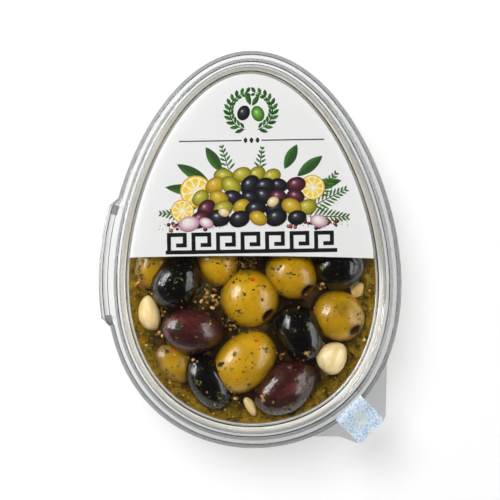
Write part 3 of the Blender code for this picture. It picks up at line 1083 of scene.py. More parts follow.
def add_grain(bm, matrix, size, rng):
    """Adds one crushed seed: a small lump with broken faces."""
    made = bmesh.ops.create_icosphere(bm, subdivisions=1, radius=size / 2)
    shift = random_shift(rng)
    for vertex in made["verts"]:
        vertex.co *= 1 + 0.35 * noise.noise(vertex.co / size * 3 + shift)
        vertex.co.z *= 0.75
    bmesh.ops.transform(bm, matrix=matrix, verts=made["verts"])


def pixel_place(column, row):
    """Where a pixel of the picture lies at the height of the rim, in the pack's own axes."""
    size = PICTURE_WIDTH / PICTURE_PIXELS
    across = (column - PACK_CENTRE_PIXEL[0]) * size
    up = (PACK_CENTRE_PIXEL[1] - row) * size
    c = math.cos(PACK_TURN)
    s = math.sin(PACK_TURN)
    return across * c + up * s, up * c - across * s


def scattered(rng, count, reach_inset):
    """Points spread at random over the oil's surface inside an inset."""
    placed = 0
    ring = egg_ring(reach_inset, steps=72)
    widest = max(point.x for point in ring)
    low = min(point.y for point in ring)
    high = max(point.y for point in ring)
    while placed < count:
        x = rng.uniform(-widest, widest)
        y = rng.uniform(low, high)
        side = [point.x for point in ring if abs(point.y - y) < 3 * MM and point.x > 0]
        if side and abs(x) < min(side):
            placed += 1
            yield x, y


def near_wall(rng, count, inset, spread):
    """Points along the wall, most of them close to it."""
    for _ in range(count):
        place = egg_point(rng.uniform(0, math.tau), inset + abs(rng.gauss(0, spread)))
        yield place.x, place.y


def clustered(rng, clusters):
    """Points spread round the middles of clusters."""
    for column, row, spread, count in clusters:
        middle_x, middle_y = pixel_place(column, row)
        for _ in range(count):
            x = middle_x + rng.gauss(0, spread / 2) * MM
            yield x, middle_y + rng.gauss(0, spread / 2) * MM


def add_herbs(bm, tree, rng, places, lengths):
    """Chopped leaves on whatever lies below the places."""
    for x, y in places:
        place, normal = resting_place(tree, x, y)
        if place is None:
            continue
        length = rng.choice(lengths) * MM
        matrix = lying(place, normal, rng.uniform(0, math.tau), HERB_LIFT)
        add_flake(bm, matrix, length, length * rng.uniform(0.35, 0.8), rng.uniform(0, 0.5), rng)


def add_seeds(bm, tree, rng, places, depth, sizes):
    """Crushed seeds on what lies below the places, left out where that is too near the heap's top."""
    for x, y in places:
        place, normal = resting_place(tree, x, y)
        if place is None or place.z > HEAP_TOP - depth:
            continue
        size = rng.uniform(*sizes) * MM
        add_grain(bm, lying(place, normal, rng.uniform(0, math.tau), size * 0.2), size, rng)


def add_chillies(bm, tree, rng):
    """Chilli flakes, each at its place in the picture."""
    for column, row, shortest, longest in CHILLI_FLAKES:
        place, normal = resting_place(tree, *pixel_place(column, row))
        if place is None:
            continue
        length = rng.uniform(shortest, longest) * MM
        matrix = lying(place, normal, rng.uniform(0, math.tau), CHILLI_LIFT)
        add_flake(bm, matrix, length, length * rng.uniform(0.5, 0.8), 0.3, rng)


def make_scatter(tree):
    """Chopped herbs, chilli flakes and crushed seeds, resting on the fruit and the oil."""
    rng = random.Random(HEAP_SEED + 3)
    herbs = bmesh.new()
    chilli = bmesh.new()
    seeds = bmesh.new()
    loose = [*scattered(rng, LOOSE_HERBS, 11.5 * MM), *near_wall(rng, WALL_HERBS, 10 * MM, 2.8 * MM)]
    on_fruit = list(clustered(rng, HERB_CLUSTERS))
    add_herbs(herbs, tree, rng, loose, LOOSE_HERB_LENGTHS)
    add_herbs(herbs, tree, rng, on_fruit, CLUSTER_HERB_LENGTHS)
    add_seeds(seeds, tree, rng, clustered(rng, SEED_CLUSTERS), CLUSTER_SEED_DEPTH, CLUSTER_SEED_SIZES)
    loose = [*scattered(rng, LOOSE_SEEDS, 11 * MM), *near_wall(rng, WALL_SEEDS, 10 * MM, 2.4 * MM)]
    add_seeds(seeds, tree, rng, loose, LOOSE_SEED_DEPTH, LOOSE_SEED_SIZES)
    add_chillies(chilli, tree, rng)
    for name, bm, material in (
        ("herb_flakes", herbs, chopped_herbs()),
        ("chilli_flakes", chilli, chilli_skin()),
        ("crushed_seeds", seeds, crushed_seed()),
    ):
        dress(link_mesh(name, bm, 50), material, "tub")


def patches(tree, where, size, stops, **settings):
    """A colour that changes in soft patches of a real size, from a noise and a ramp."""
    cloud = add_node(tree, "ShaderNodeTexNoise", {"Vector": where, "Scale": per_metre(size), **settings})
    return add_node(tree, "ShaderNodeValToRGB", {"Fac": cloud.outputs["Fac"]}, stops).outputs["Color"]


def add_relief(tree, shader, where, size, strength, depth, detail=4.0):
    """Shallow bumps and dents of a real size on a surface."""
    cloud = add_node(
        tree, "ShaderNodeTexNoise", {"Vector": where, "Scale": per_metre(size), "Detail": detail}
    )
    bump = add_node(
        tree, "ShaderNodeBump", {"Height": cloud.outputs["Fac"], "Strength": strength, "Distance": depth}
    )
    tree.links.new(bump.outputs["Normal"], shader.inputs["Normal"])


def let_light_through(tree, shader, colour):
    """Lets shadow rays pass with a tint, so that the light reaches what lies behind."""
    path = add_node(tree, "ShaderNodeLightPath")
    through = add_node(tree, "ShaderNodeBsdfTransparent", {"Color": colour})
    mix = add_node(
        tree,
        "ShaderNodeMixShader",
        {0: path.outputs["Is Shadow Ray"], 1: shader.outputs[0], 2: through.outputs[0]},
    )
    tree.links.new(mix.outputs[0], tree.nodes["Material Output"].inputs["Surface"])


def clear_pet(name, tint):
    """PET sheet, thermoformed: clear face-on and greyer seen edge-on, partly a painted reflection of dark
    surroundings; matt and greyer where the mould was etched, the grey partly painted shade.
    """
    material, tree, shader = new_material(name, IOR=1.5, Transmission_Weight=1.0)
    facing = add_node(tree, "ShaderNodeLayerWeight", {"Blend": 0.5}).outputs["Facing"]
    # Edge-on greys: partly the longer path through the sheet, partly a painted reflection of the dark
    # surroundings that the bends show.
    edge_on_greys = ((0.12, "#E0E2E3"), (0.3, "#BEC0C1"), (0.5, "#A8AAAB"), (0.75, "#AEACA7"), (1.0, "#868480"))
    clear = add_node(tree, "ShaderNodeValToRGB", {"Fac": facing}, ((0.0, tint), *edge_on_greys)).outputs["Color"]
    frost_and_shade = add_node(tree, "ShaderNodeAttribute", attribute_name="frost_and_shade").outputs["Fac"]
    # Where matt, the sheet is also greyed: partly the etched haze, partly painted shade of the shaded table
    # seen through it.
    frost_grey_and_shade = add_node(tree, "ShaderNodeMix", {0: frost_and_shade, 6: clear, 7: linear("#B0B2B4")}, data_type="RGBA")
    tree.links.new(frost_grey_and_shade.outputs[2], shader.inputs["Base Color"])
    rough = add_node(tree, "ShaderNodeMapRange", {"Value": frost_and_shade, "To Min": 0.03, "To Max": 0.32})
    tree.links.new(rough.outputs[0], shader.inputs["Roughness"])
    where = add_node(tree, "ShaderNodeTexCoord").outputs["Object"]
    add_relief(tree, shader, where, 16 * MM, 0.04, 0.4 * MM, detail=2.0)
    shades = ((0.0, "#FBFCFC"), (0.2, "#F3F5F5"), (0.5, "#D2D4D4"), (0.9, "#A2A4A4"))
    shade = add_node(tree, "ShaderNodeValToRGB", {"Fac": facing}, shades).outputs["Color"]
    let_light_through(tree, shader, shade)
    return material


def ledge_pet_painted_light():
    """PET at the tub's ledge, milky cream with a soft gloss: painted light, standing in for the bright table
    and the oily food seen through the clear ledge.
    """
    material, tree, shader = new_material(
        "PET ledge, thermoformed, painted with table light",
        Roughness=0.3,
        IOR=1.5,
        Subsurface_Weight=1.0,
        Subsurface_Radius=(1.0, 0.97, 0.9),
        Subsurface_Scale=3.0 * MM,
    )
    where = add_node(tree, "ShaderNodeTexCoord").outputs["Object"]
    # The cream is painted light: the brightness of the table shining through the clear ledge.
    colour = patches(tree, where, 9 * MM, ((0.3, "#EEDFC8"), (0.5, "#F6ECDA"), (0.7, "#FBF6EC")), Detail=3.0)
    tree.links.new(colour, shader.inputs["Base Color"])
    return material


def herb_oil():
    """Olive oil with herb juices: golden by the wall and dark brown further in, which is painted light and
    shade as well as the deeper oil; clear against the tub's side.
    """
    material, tree, shader = new_material("Olive oil, infused", Roughness=0.04, IOR=1.47)
    where = add_node(tree, "ShaderNodeTexCoord").outputs["Object"]
    streaks = add_node(
        tree,
        "ShaderNodeTexNoise",
        {"Vector": where, "Scale": per_metre(3.5 * MM), "Detail": 6.0, "Roughness": 0.7},
    ).outputs["Fac"]
    golds = ((0.32, "#4A3604"), (0.45, "#86640A"), (0.56, "#A88010"), (0.68, "#CCA436"))
    browns = ((0.3, "#140C04"), (0.5, "#2E1F0A"), (0.62, "#463212"), (0.75, "#6A5024"))
    golden = add_node(tree, "ShaderNodeValToRGB", {"Fac": streaks}, golds).outputs["Color"]
    brown = add_node(tree, "ShaderNodeValToRGB", {"Fac": streaks}, browns).outputs["Color"]
    # Golden by the wall, brown further in: painted light and shade.
    oil_shade = add_node(tree, "ShaderNodeAttribute", attribute_name="oil_shade").outputs["Fac"]
    both = add_node(tree, "ShaderNodeMix", {0: oil_shade, 6: golden, 7: brown}, data_type="RGBA")
    height = add_node(tree, "ShaderNodeSeparateXYZ", {0: where}).outputs["Z"]
    side = add_node(
        tree,
        "ShaderNodeMapRange",
        {"Value": height, "From Min": OIL_LEVEL - 0.5 * MM, "From Max": OIL_LEVEL - 2.5 * MM},
    ).outputs[0]
    thin = add_node(
        tree, "ShaderNodeMix", {0: side, 6: both.outputs[2], 7: linear("#E6C868")}, data_type="RGBA"
    )
    tree.links.new(thin.outputs[2], shader.inputs["Base Color"])
    clearness = add_node(tree, "ShaderNodeMapRange", {"Value": side, "To Min": 0.45, "To Max": 0.95})
    tree.links.new(clearness.outputs[0], shader.inputs["Transmission Weight"])
    let_light_through(tree, shader, linear("#D8C070"))
    return material


def wetted_and_shaded(tree, colour, darkest):
    """A skin colour that darkens towards the oil: partly a brown film of herb oil that clings to the fruit,
    partly painted shade low on the fruit.
    """
    where = add_node(tree, "ShaderNodeTexCoord").outputs["Object"]
    height = add_node(tree, "ShaderNodeSeparateXYZ", {0: where}).outputs["Z"]
    cloud = add_node(
        tree, "ShaderNodeTexNoise", {"Vector": where, "Scale": per_metre(4 * MM), "Detail": 3.0}
    )
    uneven = add_node(
        tree, "ShaderNodeMath", {0: cloud.outputs["Fac"], 1: 4 * MM, 2: height}, operation="MULTIPLY_ADD"
    )
    share = add_node(
        tree,
        "ShaderNodeMapRange",
        {"Value": uneven.outputs[0], "From Min": OIL_LEVEL, "From Max": OIL_LEVEL + 10 * MM},
        interpolation_type="SMOOTHSTEP",
    )
    film = add_node(
        tree, "ShaderNodeValToRGB", {"Fac": share.outputs[0]}, ((0.0, darkest), (1.0, "#FFFFFF"))
    )
    mixed = add_node(
        tree,
        "ShaderNodeMix",
        {0: 1.0, 6: colour, 7: film.outputs["Color"]},
        data_type="RGBA",
        blend_type="MULTIPLY",
    )
    return mixed.outputs[2]


def green_olive_skin(name):
    """Cured green olive: golden green and mottled under a thin skin, with brown pores and an oil gloss."""
    material, tree, shader = new_material(
        name,
        Roughness=0.28,
        IOR=1.45,
        Subsurface_Weight=0.12,
        Subsurface_Radius=(1.0, 0.6, 0.15),
        Subsurface_Scale=1.5 * MM,
        Coat_Weight=0.8,
        Coat_Roughness=0.035,
        Coat_IOR=1.47,
    )
    skin = add_node(tree, "ShaderNodeAttribute", attribute_name="skin").outputs["Vector"]
    tone = add_node(tree, "ShaderNodeAttribute", attribute_name="tone").outputs["Fac"]
    mottle = add_node(
        tree,
        "ShaderNodeTexNoise",
        {"Vector": skin, "Scale": per_metre(7 * MM), "Detail": 5.0, "Roughness": 0.6},
    )
    shifted = add_node(
        tree, "ShaderNodeMath", {0: tone, 1: 0.35, 2: mottle.outputs["Fac"]}, operation="MULTIPLY_ADD"
    )
    golds = ((0.3, "#7A5E00"), (0.5, "#A67C00"), (0.68, "#B88A00"), (0.95, "#C6980E"))
    flesh = add_node(tree, "ShaderNodeValToRGB", {"Fac": shifted.outputs[0]}, golds)
    # Darker towards the oil: oil film and painted shade.
    flesh = wetted_and_shaded(tree, flesh.outputs["Color"], "#65542F")
    pores = add_node(tree, "ShaderNodeTexVoronoi", {"Vector": skin, "Scale": per_metre(1.9 * MM)})
    spots = add_node(
        tree, "ShaderNodeValToRGB", {"Fac": pores.outputs["Distance"]}, ((0.1, "#D0D0D0"), (0.19, "#000000"))
    ).outputs["Color"]
    picked = add_node(tree, "ShaderNodeSeparateColor", {0: pores.outputs["Color"]}).outputs[0]
    some = add_node(tree, "ShaderNodeMath", {0: picked, 1: 0.55}, operation="GREATER_THAN").outputs[0]
    shown = add_node(tree, "ShaderNodeMath", {0: spots, 1: some}, operation="MULTIPLY").outputs[0]
    spotted = add_node(tree, "ShaderNodeMix", {0: shown, 6: flesh, 7: linear("#4A340A")}, data_type="RGBA")
    # Dark brown inside the pit hole: painted shade in the hole.
    pit = add_node(tree, "ShaderNodeAttribute", attribute_name="pit").outputs["Fac"]
    with_pit_shade = add_node(
        tree, "ShaderNodeMix", {0: pit, 6: spotted.outputs[2], 7: linear("#553608")}, data_type="RGBA"
    )
    tree.links.new(with_pit_shade.outputs[2], shader.inputs["Base Color"])
    add_relief(tree, shader, skin, 1.2 * MM, 0.6, 0.3 * MM)
    return material


def black_olive_skin():
    """Black olive: near-black skin, finely wrinkled, whose wet gloss shows the light as sharp patches."""
    material, tree, shader = new_material(
        "Black olive, ripe and oiled",
        Roughness=0.2,
        IOR=1.35,
        Coat_Weight=1.0,
        Coat_Roughness=0.03,
        Coat_IOR=1.5,
    )
    skin = add_node(tree, "ShaderNodeAttribute", attribute_name="skin").outputs["Vector"]
    blacks = ((0.35, "#020101"), (0.6, "#060403"), (0.85, "#120B08"))
    colour = patches(tree, skin, 6 * MM, blacks, Detail=4.0)
    tree.links.new(colour, shader.inputs["Base Color"])
    add_relief(tree, shader, skin, 1.5 * MM, 0.6, 0.3 * MM)
    return material


def kalamata_skin():
    """Kalamata olive: dark maroon skin with lighter purple streaks along it, wet and finely dimpled."""
    material, tree, shader = new_material(
        "Kalamata olive, brined and oiled", Roughness=0.26, IOR=1.45, Coat_Weight=0.9, Coat_Roughness=0.07
    )
    skin = add_node(tree, "ShaderNodeAttribute", attribute_name="skin").outputs["Vector"]
    stretched = add_node(tree, "ShaderNodeMapping", {"Vector": skin, "Scale": (0.35, 1.0, 1.0)}).outputs[0]
    maroons = ((0.3, "#1A0707"), (0.48, "#34120F"), (0.62, "#4C1C19"), (0.8, "#6E3530"))
    colour = patches(tree, stretched, 4 * MM, maroons, Detail=6.0, Roughness=0.65)
    # Darker towards the oil: oil film and painted shade.
    tree.links.new(wetted_and_shaded(tree, colour, "#9A8A78"), shader.inputs["Base Color"])
    add_relief(tree, shader, skin, 1.1 * MM, 0.5, 0.35 * MM)
    return material


def peeled_garlic():
    """Peeled garlic clove in oil: cream, faintly veined, slightly see-through at its edges."""
    material, tree, shader = new_material(
        "Garlic clove, peeled",
        Roughness=0.3,
        IOR=1.45,
        Subsurface_Weight=0.3,
        Subsurface_Radius=(1.0, 0.8, 0.5),
        Subsurface_Scale=2.0 * MM,
        Coat_Weight=0.6,
        Coat_Roughness=0.08,
    )
    skin = add_node(tree, "ShaderNodeAttribute", attribute_name="skin").outputs["Vector"]
    stretched = add_node(tree, "ShaderNodeMapping", {"Vector": skin, "Scale": (0.25, 1.0, 1.0)}).outputs[0]
    creams = ((0.3, "#DABD7A"), (0.5, "#E4CC96"), (0.7, "#ECDAAE"))
    colour = patches(tree, stretched, 2 * MM, creams, Detail=3.0)
    # Darker towards the oil: oil film and painted shade.
    tree.links.new(wetted_and_shaded(tree, colour, "#D2BA86"), shader.inputs["Base Color"])
    add_relief(tree, shader, skin, 1.5 * MM, 0.15, 0.2 * MM)
    return material


def chopped_herbs():
    """Dried herbs, chopped and soaked: dark green to brown-black flakes, each a little different."""
    material, tree, shader = new_material("Dried herbs, chopped", Roughness=0.6, IOR=1.35)
    where = add_node(tree, "ShaderNodeTexCoord").outputs["Object"]
    greens = ((0.32, "#0E0C04"), (0.44, "#221F08"), (0.52, "#3A3C12"), (0.6, "#7C7634"), (0.7, "#2A1C08"))
    tree.links.new(patches(tree, where, 2.5 * MM, greens), shader.inputs["Base Color"])
    return material


def chilli_skin():
    """Dried chilli, flaked: orange red, shiny with oil."""
    material, tree, shader = new_material("Dried chilli, flaked", Roughness=0.3, IOR=1.45, Coat_Weight=0.6)
    where = add_node(tree, "ShaderNodeTexCoord").outputs["Object"]
    reds = ((0.35, "#A82408"), (0.6, "#D9480F"), (0.8, "#E87A2A"))
    tree.links.new(patches(tree, where, 1.5 * MM, reds), shader.inputs["Base Color"])
    return material


def crushed_seed():
    """Coriander and mustard seed, crushed: tan to orange brown grains with pale broken faces."""
    material, tree, shader = new_material("Spice seed, crushed", Roughness=0.45, IOR=1.45, Coat_Weight=0.4)
    where = add_node(tree, "ShaderNodeTexCoord").outputs["Object"]
    tans = ((0.34, "#2C1808"), (0.45, "#754A1A"), (0.56, "#B8873E"), (0.66, "#E6C68C"))
    tree.links.new(patches(tree, where, 1.6 * MM, tans), shader.inputs["Base Color"])
    return material


def coated_label_film():
    """White polypropylene label film: even, near white, with a soft sheen and a faint calendered grain."""
    material, tree, shader = new_material("Label film, white coated", Roughness=0.42, IOR=1.49)
    where = add_node(tree, "ShaderNodeTexCoord").outputs["Object"]
    colour = patches(tree, where, 0.8 * MM, ((0.3, "#E7E7E6"), (0.7, "#EAEAE9")), Detail=3.0)
    tree.links.new(colour, shader.inputs["Base Color"])
    add_relief(tree, shader, where, 0.8 * MM, 0.08, 0.05 * MM, detail=3.0)
    return material


def printing_ink():
    """Printing ink on the label film: the motif's own colours, broken by a fine screen grain."""
    material, tree, shader = new_material("Printing ink, screened", Roughness=0.4, IOR=1.49)
    ink = add_node(tree, "ShaderNodeAttribute", attribute_name="ink").outputs["Color"]
    where = add_node(tree, "ShaderNodeTexCoord").outputs["Object"]
    grain = patches(tree, where, 0.7 * MM, ((0.3, "#E0E0E0"), (0.7, "#FFFFFF")), Detail=3.0)
    mixed = add_node(
        tree, "ShaderNodeMix", {0: 1.0, 6: ink, 7: grain}, data_type="RGBA", blend_type="MULTIPLY"
    )
    tree.links.new(mixed.outputs[2], shader.inputs["Base Color"])
    return material


def hologram_foil():
    """Metallised foil with a pressed glitter pattern: pale blue and lilac grains, greener in the middle."""
    material, tree, shader = new_material("Glitter foil, metallised", Roughness=0.35, Metallic=0.15)
    where = add_node(tree, "ShaderNodeTexCoord").outputs["Object"]
    cells = add_node(tree, "ShaderNodeTexVoronoi", {"Vector": where, "Scale": per_metre(0.45 * MM)})
    pick = add_node(tree, "ShaderNodeSeparateColor", {0: cells.outputs["Color"]})
    blues = ((0.0, "#9CC4F6"), (0.2, "#C8E6FE"), (0.42, "#FAFDFF"), (0.62, "#D2D4F6"), (0.74, "#E4FAFA"))
    glitter = add_node(tree, "ShaderNodeValToRGB", {"Fac": pick.outputs[0]}, blues)
    glitter.color_ramp.interpolation = "CONSTANT"
    middle = Vector((*SEAL_START, TAB_TOP))
    middle += Vector((math.cos(SEAL_HEADING), math.sin(SEAL_HEADING), 0)) * SEAL_SIDE * 0.5
    away = add_node(tree, "ShaderNodeVectorMath", {0: where, 1: tuple(middle)}, operation="DISTANCE")
    blotch = add_node(tree, "ShaderNodeTexNoise", {"Vector": where, "Scale": per_metre(2.5 * MM)})
    uneven = add_node(
        tree,
        "ShaderNodeMath",
        {0: blotch.outputs["Fac"], 1: 4 * MM, 2: away.outputs["Value"]},
        operation="MULTIPLY_ADD",
    )
    reach = {"From Min": 3.5 * MM, "From Max": 7 * MM, "To Min": 0.5, "To Max": 0.0}
    share = add_node(tree, "ShaderNodeMapRange", {"Value": uneven.outputs[0], **reach}).outputs[0]
    tinted = add_node(
        tree,
        "ShaderNodeMix",
        {0: share, 6: glitter.outputs["Color"], 7: linear("#E8EED8")},
        data_type="RGBA",
    )
    tree.links.new(tinted.outputs[2], shader.inputs["Base Color"])
    return material


def make_seal():
    """Square foil lying on the lid's rim and stepping down onto the tab."""
    bm = bmesh.new()
    turn = Matrix.Translation((*SEAL_START, 0)) @ Matrix.Rotation(SEAL_HEADING, 4, "Z")
    sheets = []
    for lift in (0.0, SEAL_THICKNESS):
        grid = []
        for i in range(SEAL_STEPS + 1):
            along = SEAL_SIDE * i / SEAL_STEPS
            share = min(1.0, max(0.0, (along - SEAL_SLOPE_START) / SEAL_SLOPE_LENGTH))
            share = share * share * (3 - 2 * share)
            height = SEAL_ON_RIM + (SEAL_ON_TAB - SEAL_ON_RIM) * share
            row = []
            for j in range(SEAL_STEPS + 1):
                side = SEAL_SIDE * (j / SEAL_STEPS - 0.5)
                wave = 0.05 * MM * noise.noise(Vector((along, side, 0)) * 350)
                row.append(bm.verts.new(turn @ Vector((along, side, height + wave + lift))))
            grid.append(row)
        sheets.append(grid)
    close_sheets(bm, *sheets)
    return dress(link_mesh("foil_seal", bm, 30), hologram_foil(), "lid", ["seal"])


def make_floor():
    """Pale acrylic studio table, lit from below as well as from above."""
    material, tree, shader = new_material(
        "Acrylic table, opal and backlit",
        Roughness=0.7,
        Emission_Color=linear("#FFFFFF"),
        Emission_Strength=0.57,
    )
    where = add_node(tree, "ShaderNodeTexCoord").outputs["Object"]
    colour = patches(tree, where, 30 * MM, ((0.3, "#B6B6B6"), (0.7, "#B9B9B9")))
    tree.links.new(colour, shader.inputs["Base Color"])
    bm = bmesh.new()
    bmesh.ops.create_grid(bm, x_segments=4, y_segments=4, size=1.5)
    floor = link_mesh("studio_table", bm)
    floor.location.z = -0.05 * MM
    floor.data.materials.append(material)


def turned(x, y, along, across, heading):
    """The place this far along and across a heading, in degrees, from a point."""
    c = math.cos(math.radians(heading))
    s = math.sin(math.radians(heading))
    return x + along * c - across * s, y + along * s + across * c


class Print:
    """The label's print: flat shapes in layers, inked vertex by vertex; places are in millimetres."""

    def __init__(self):
        self.bm = bmesh.new()
        self.ink = self.bm.verts.layers.float_color.new("ink")

    def vertex(self, x, y, hex_colour, level):
        """An inked point of a layer."""
        made = self.bm.verts.new((x * MM, y * MM, LABEL_TOP + (level + 1) * PRINT_LAYER))
        made[self.ink] = linear(hex_colour)
        return made

    def shaded_blob(self, x, y, length, width, heading, colours, level, light=(-0.3, 0.35), sides=28):
        """A rounded fruit: rings of colour from the outline to a bright spot shifted towards the light."""
        rings = []
        for ring, hex_colour in enumerate(colours[:-1]):
            share = 1 - ring / (len(colours) - 1)
            row = []
            for step in range(sides):
                angle = math.tau * step / sides
                along = length / 2 * share * math.cos(angle)
                px, py = turned(x, y, along, width / 2 * share * math.sin(angle), heading)
                px += light[0] * width / 2 * (1 - share)
                py += light[1] * width / 2 * (1 - share)
                row.append(self.vertex(px, py, hex_colour, level))
            rings.append(row)
        for first, second in zip(rings, rings[1:]):
            bridge(self.bm, first, second)
        spot = self.vertex(x + light[0] * width / 2, y + light[1] * width / 2, colours[-1], level)
        for i, vertex in enumerate(rings[-1]):
            self.bm.faces.new((vertex, rings[-1][(i + 1) % sides], spot))

    def strips(self, rows):
        """Faces between rows of as many vertices."""
        for first, second in zip(rows, rows[1:]):
            for k in range(len(first) - 1):
                self.bm.faces.new((first[k], first[k + 1], second[k + 1], second[k]))

    def leaf(self, x, y, length, width, heading, dark, pale, level, steps=10):
        """A pointed leaf from its stalk end, one half darker than the other."""
        rows = []
        for step in range(steps + 1):
            along = step / steps
            half = width / 2 * math.sin(math.pi * along) ** 0.8
            row = []
            for across, colour in ((half, pale), (0.0, dark), (-half, dark)):
                row.append(self.vertex(*turned(x, y, along * length, across, heading), colour, level))
            rows.append(row)
        self.strips(rows)

    def stroke(self, points, width, hex_colour, level):
        """A line of even width with tapered ends."""
        pairs = []
        for i, (x, y) in enumerate(points):
            ahead = points[min(i + 1, len(points) - 1)]
            behind = points[max(i - 1, 0)]
            dx = ahead[0] - behind[0]
            dy = ahead[1] - behind[1]
            half = width / 2 * math.sin(math.pi * (0.06 + 0.88 * i / (len(points) - 1))) ** 0.5
            nx = -dy / math.hypot(dx, dy) * half
            ny = dx / math.hypot(dx, dy) * half
            pairs.append([self.vertex(x + side * nx, y + side * ny, hex_colour, level) for side in (1, -1)])
        self.strips(pairs)

    def rule(self, left, right, y, height, hex_colour, level):
        """A plain upright rectangle round a height."""
        low = y - height / 2
        high = y + height / 2
        corners = ((left, low), (right, low), (right, high), (left, high))
        self.bm.faces.new([self.vertex(px, py, hex_colour, level) for px, py in corners])


def wreath_point(side, angle):
    """A point of the wreath's arc, at an angle in degrees from its middle; side is 1 or -1."""
    turn = math.radians(angle)
    return side * WREATH_RADII[0] * math.cos(turn), WREATH_Y + WREATH_RADII[1] * math.sin(turn)


def print_wreath(sheet):
    """An open wreath of small leaves round two olives."""
    for side in (-1, 1):
        for step in range(11):
            x, y = wreath_point(side, -70 + 148 * step / 10)
            outwards = math.degrees(math.atan2(y - WREATH_Y, x))
            inks = ("#2F6B1E", "#4F9A2C") if step % 2 else ("#1F4A1A", "#3B7A26")
            sheet.leaf(x, y, 3.9 - 0.12 * step, 1.5, outwards + side * 48, *inks, 2)
            inner_y = WREATH_Y + (y - WREATH_Y) * 0.95
            sheet.leaf(x * 0.97, inner_y, 2.9 - 0.1 * step, 1.2, outwards + side * 125, *inks, 1)
        arc = [wreath_point(side, -74 + 152 * step / 24) for step in range(25)]
        sheet.stroke(arc, 0.5, "#23451A", 3)
    sheet.shaded_blob(-3.0, 54.6, 6.2, 4.9, 64, BLACK_INKS, 4)
    sheet.shaded_blob(2.7, 54.2, 6.4, 5.0, 112, FRESH_GREEN_INKS, 5)
    sheet.leaf(-0.2, 57.6, 6.0, 2.2, 108, "#23551B", "#4C9430", 3)
    sheet.leaf(0.4, 57.4, 5.2, 2.0, 56, "#23551B", "#4C9430", 3)


def print_sprig(sheet, x, y, length, heading, level):
    """A sprig of narrow needles on both sides of a thin stalk."""
    needles = int(length / 1.6)
    for k in range(needles):
        share = (k + 0.5) / needles
        size = 0.34 * length * (1.1 - share * 0.75)
        foot = turned(x, y, length * share, 0, heading)
        for side in (-1, 1):
            needle_heading = heading + side * (58 - 22 * share)
            sheet.leaf(*foot, size, 0.85, needle_heading, SPRIG_INKS[k % 2], SPRIG_INKS[2], level, steps=5)
    stalk = [turned(x, y, length * k / 8, 0, heading) for k in range(9)]
    sheet.stroke(stalk, 0.4, SPRIG_INKS[0], level + 1)


def print_lemon(sheet, x, y, radius, level):
    """A lemon round: peel, pith and nine wedges that don't touch."""
    sheet.shaded_blob(x, y, 2 * radius, 2 * radius, 0, ("#E3B400", "#F6CC12", "#FFDC30"), level, (0, 0), 40)
    sheet.shaded_blob(x, y, 1.8 * radius, 1.8 * radius, 0, ("#FFF3CC", "#FFF6DC"), level + 1, (0, 0), 40)
    for k in range(9):
        corners = []
        for share, aside in ((0.12, 0), (0.72, -15.5), (0.8, -10), (0.82, 0), (0.8, 10), (0.72, 15.5)):
            place = turned(x, y, share * radius, 0, 40 * k + 12 + aside)
            corners.append(sheet.vertex(*place, "#FFEB94" if share < 0.5 else "#FBD02A", level + 2))
        sheet.bm.faces.new(corners)


def print_greens(sheet):
    """Leaves, sprigs and lemon rounds behind the heap."""
    for x, y, length, heading in HEAP_LEAVES:
        sheet.leaf(x, y, length, 4.4, heading, "#2C5220", "#4C7C34", 1)
    for number, (x, y, length, heading) in enumerate(HEAP_SPRIGS):
        print_sprig(sheet, x, y, length, heading, 2 + 2 * (number % 2))
    for x, y, radius, level in HEAP_LEMONS:
        print_lemon(sheet, x, y, radius, level)


def print_heap(sheet, rng):
    """The middle picture's long low heap of olives, with cloves, onions and peppercorns at its foot."""
    kinds = (BLACK_INKS, GREEN_INKS, GOLD_INKS, PURPLE_INKS, BLACK_INKS, GREEN_INKS)
    for row, (y, count, spacing) in enumerate(HEAP_ROWS):
        stagger = 0.25 if row % 2 else -0.25
        for k in range(count):
            x = (k - (count - 1) / 2 + stagger) * spacing + rng.uniform(-0.7, 0.7)
            length = rng.uniform(7.2, 9.0)
            inks = rng.choice(kinds)
            level = 12 + 2 * row + k % 2
            y_here = y + rng.uniform(-0.6, 0.6)
            sheet.shaded_blob(x, y_here, length, length * 0.76, rng.uniform(-50, 50), inks, level)
    for x, y, size, heading in HEAP_ONIONS:
        sheet.shaded_blob(x, y, size, size * 0.7, heading, PEEL_INKS, 22 + int(x > -20))
    sheet.shaded_blob(8.2, 19.0, 5.0, 3.8, 30, CREAM_INKS, 22)
    sheet.shaded_blob(-11.5, 15.0, 4.6, 3.4, -20, CREAM_INKS, 22)
    for number in range(46):
        x = rng.choice((-1, 1)) * rng.uniform(14, 34)
        y = rng.uniform(8.6, 11.8) - abs(x) * 0.02
        size = rng.uniform(1.1, 1.9)
        inks = rng.choice((BLACK_INKS, PURPLE_INKS, RED_CORN_INKS))
        sheet.shaded_blob(x, y, size, size, 0, inks, 6 + number % 5, sides=12)
    for _ in range(90):
        x = rng.choice((-1, 1)) * rng.uniform(10, 38)
        size = rng.uniform(0.3, 0.6)
        tone = rng.choice(CRUMB_INKS)
        sheet.shaded_blob(x, rng.uniform(8.2, 12.5), size, size, 0, (tone, tone), 0, sides=7)


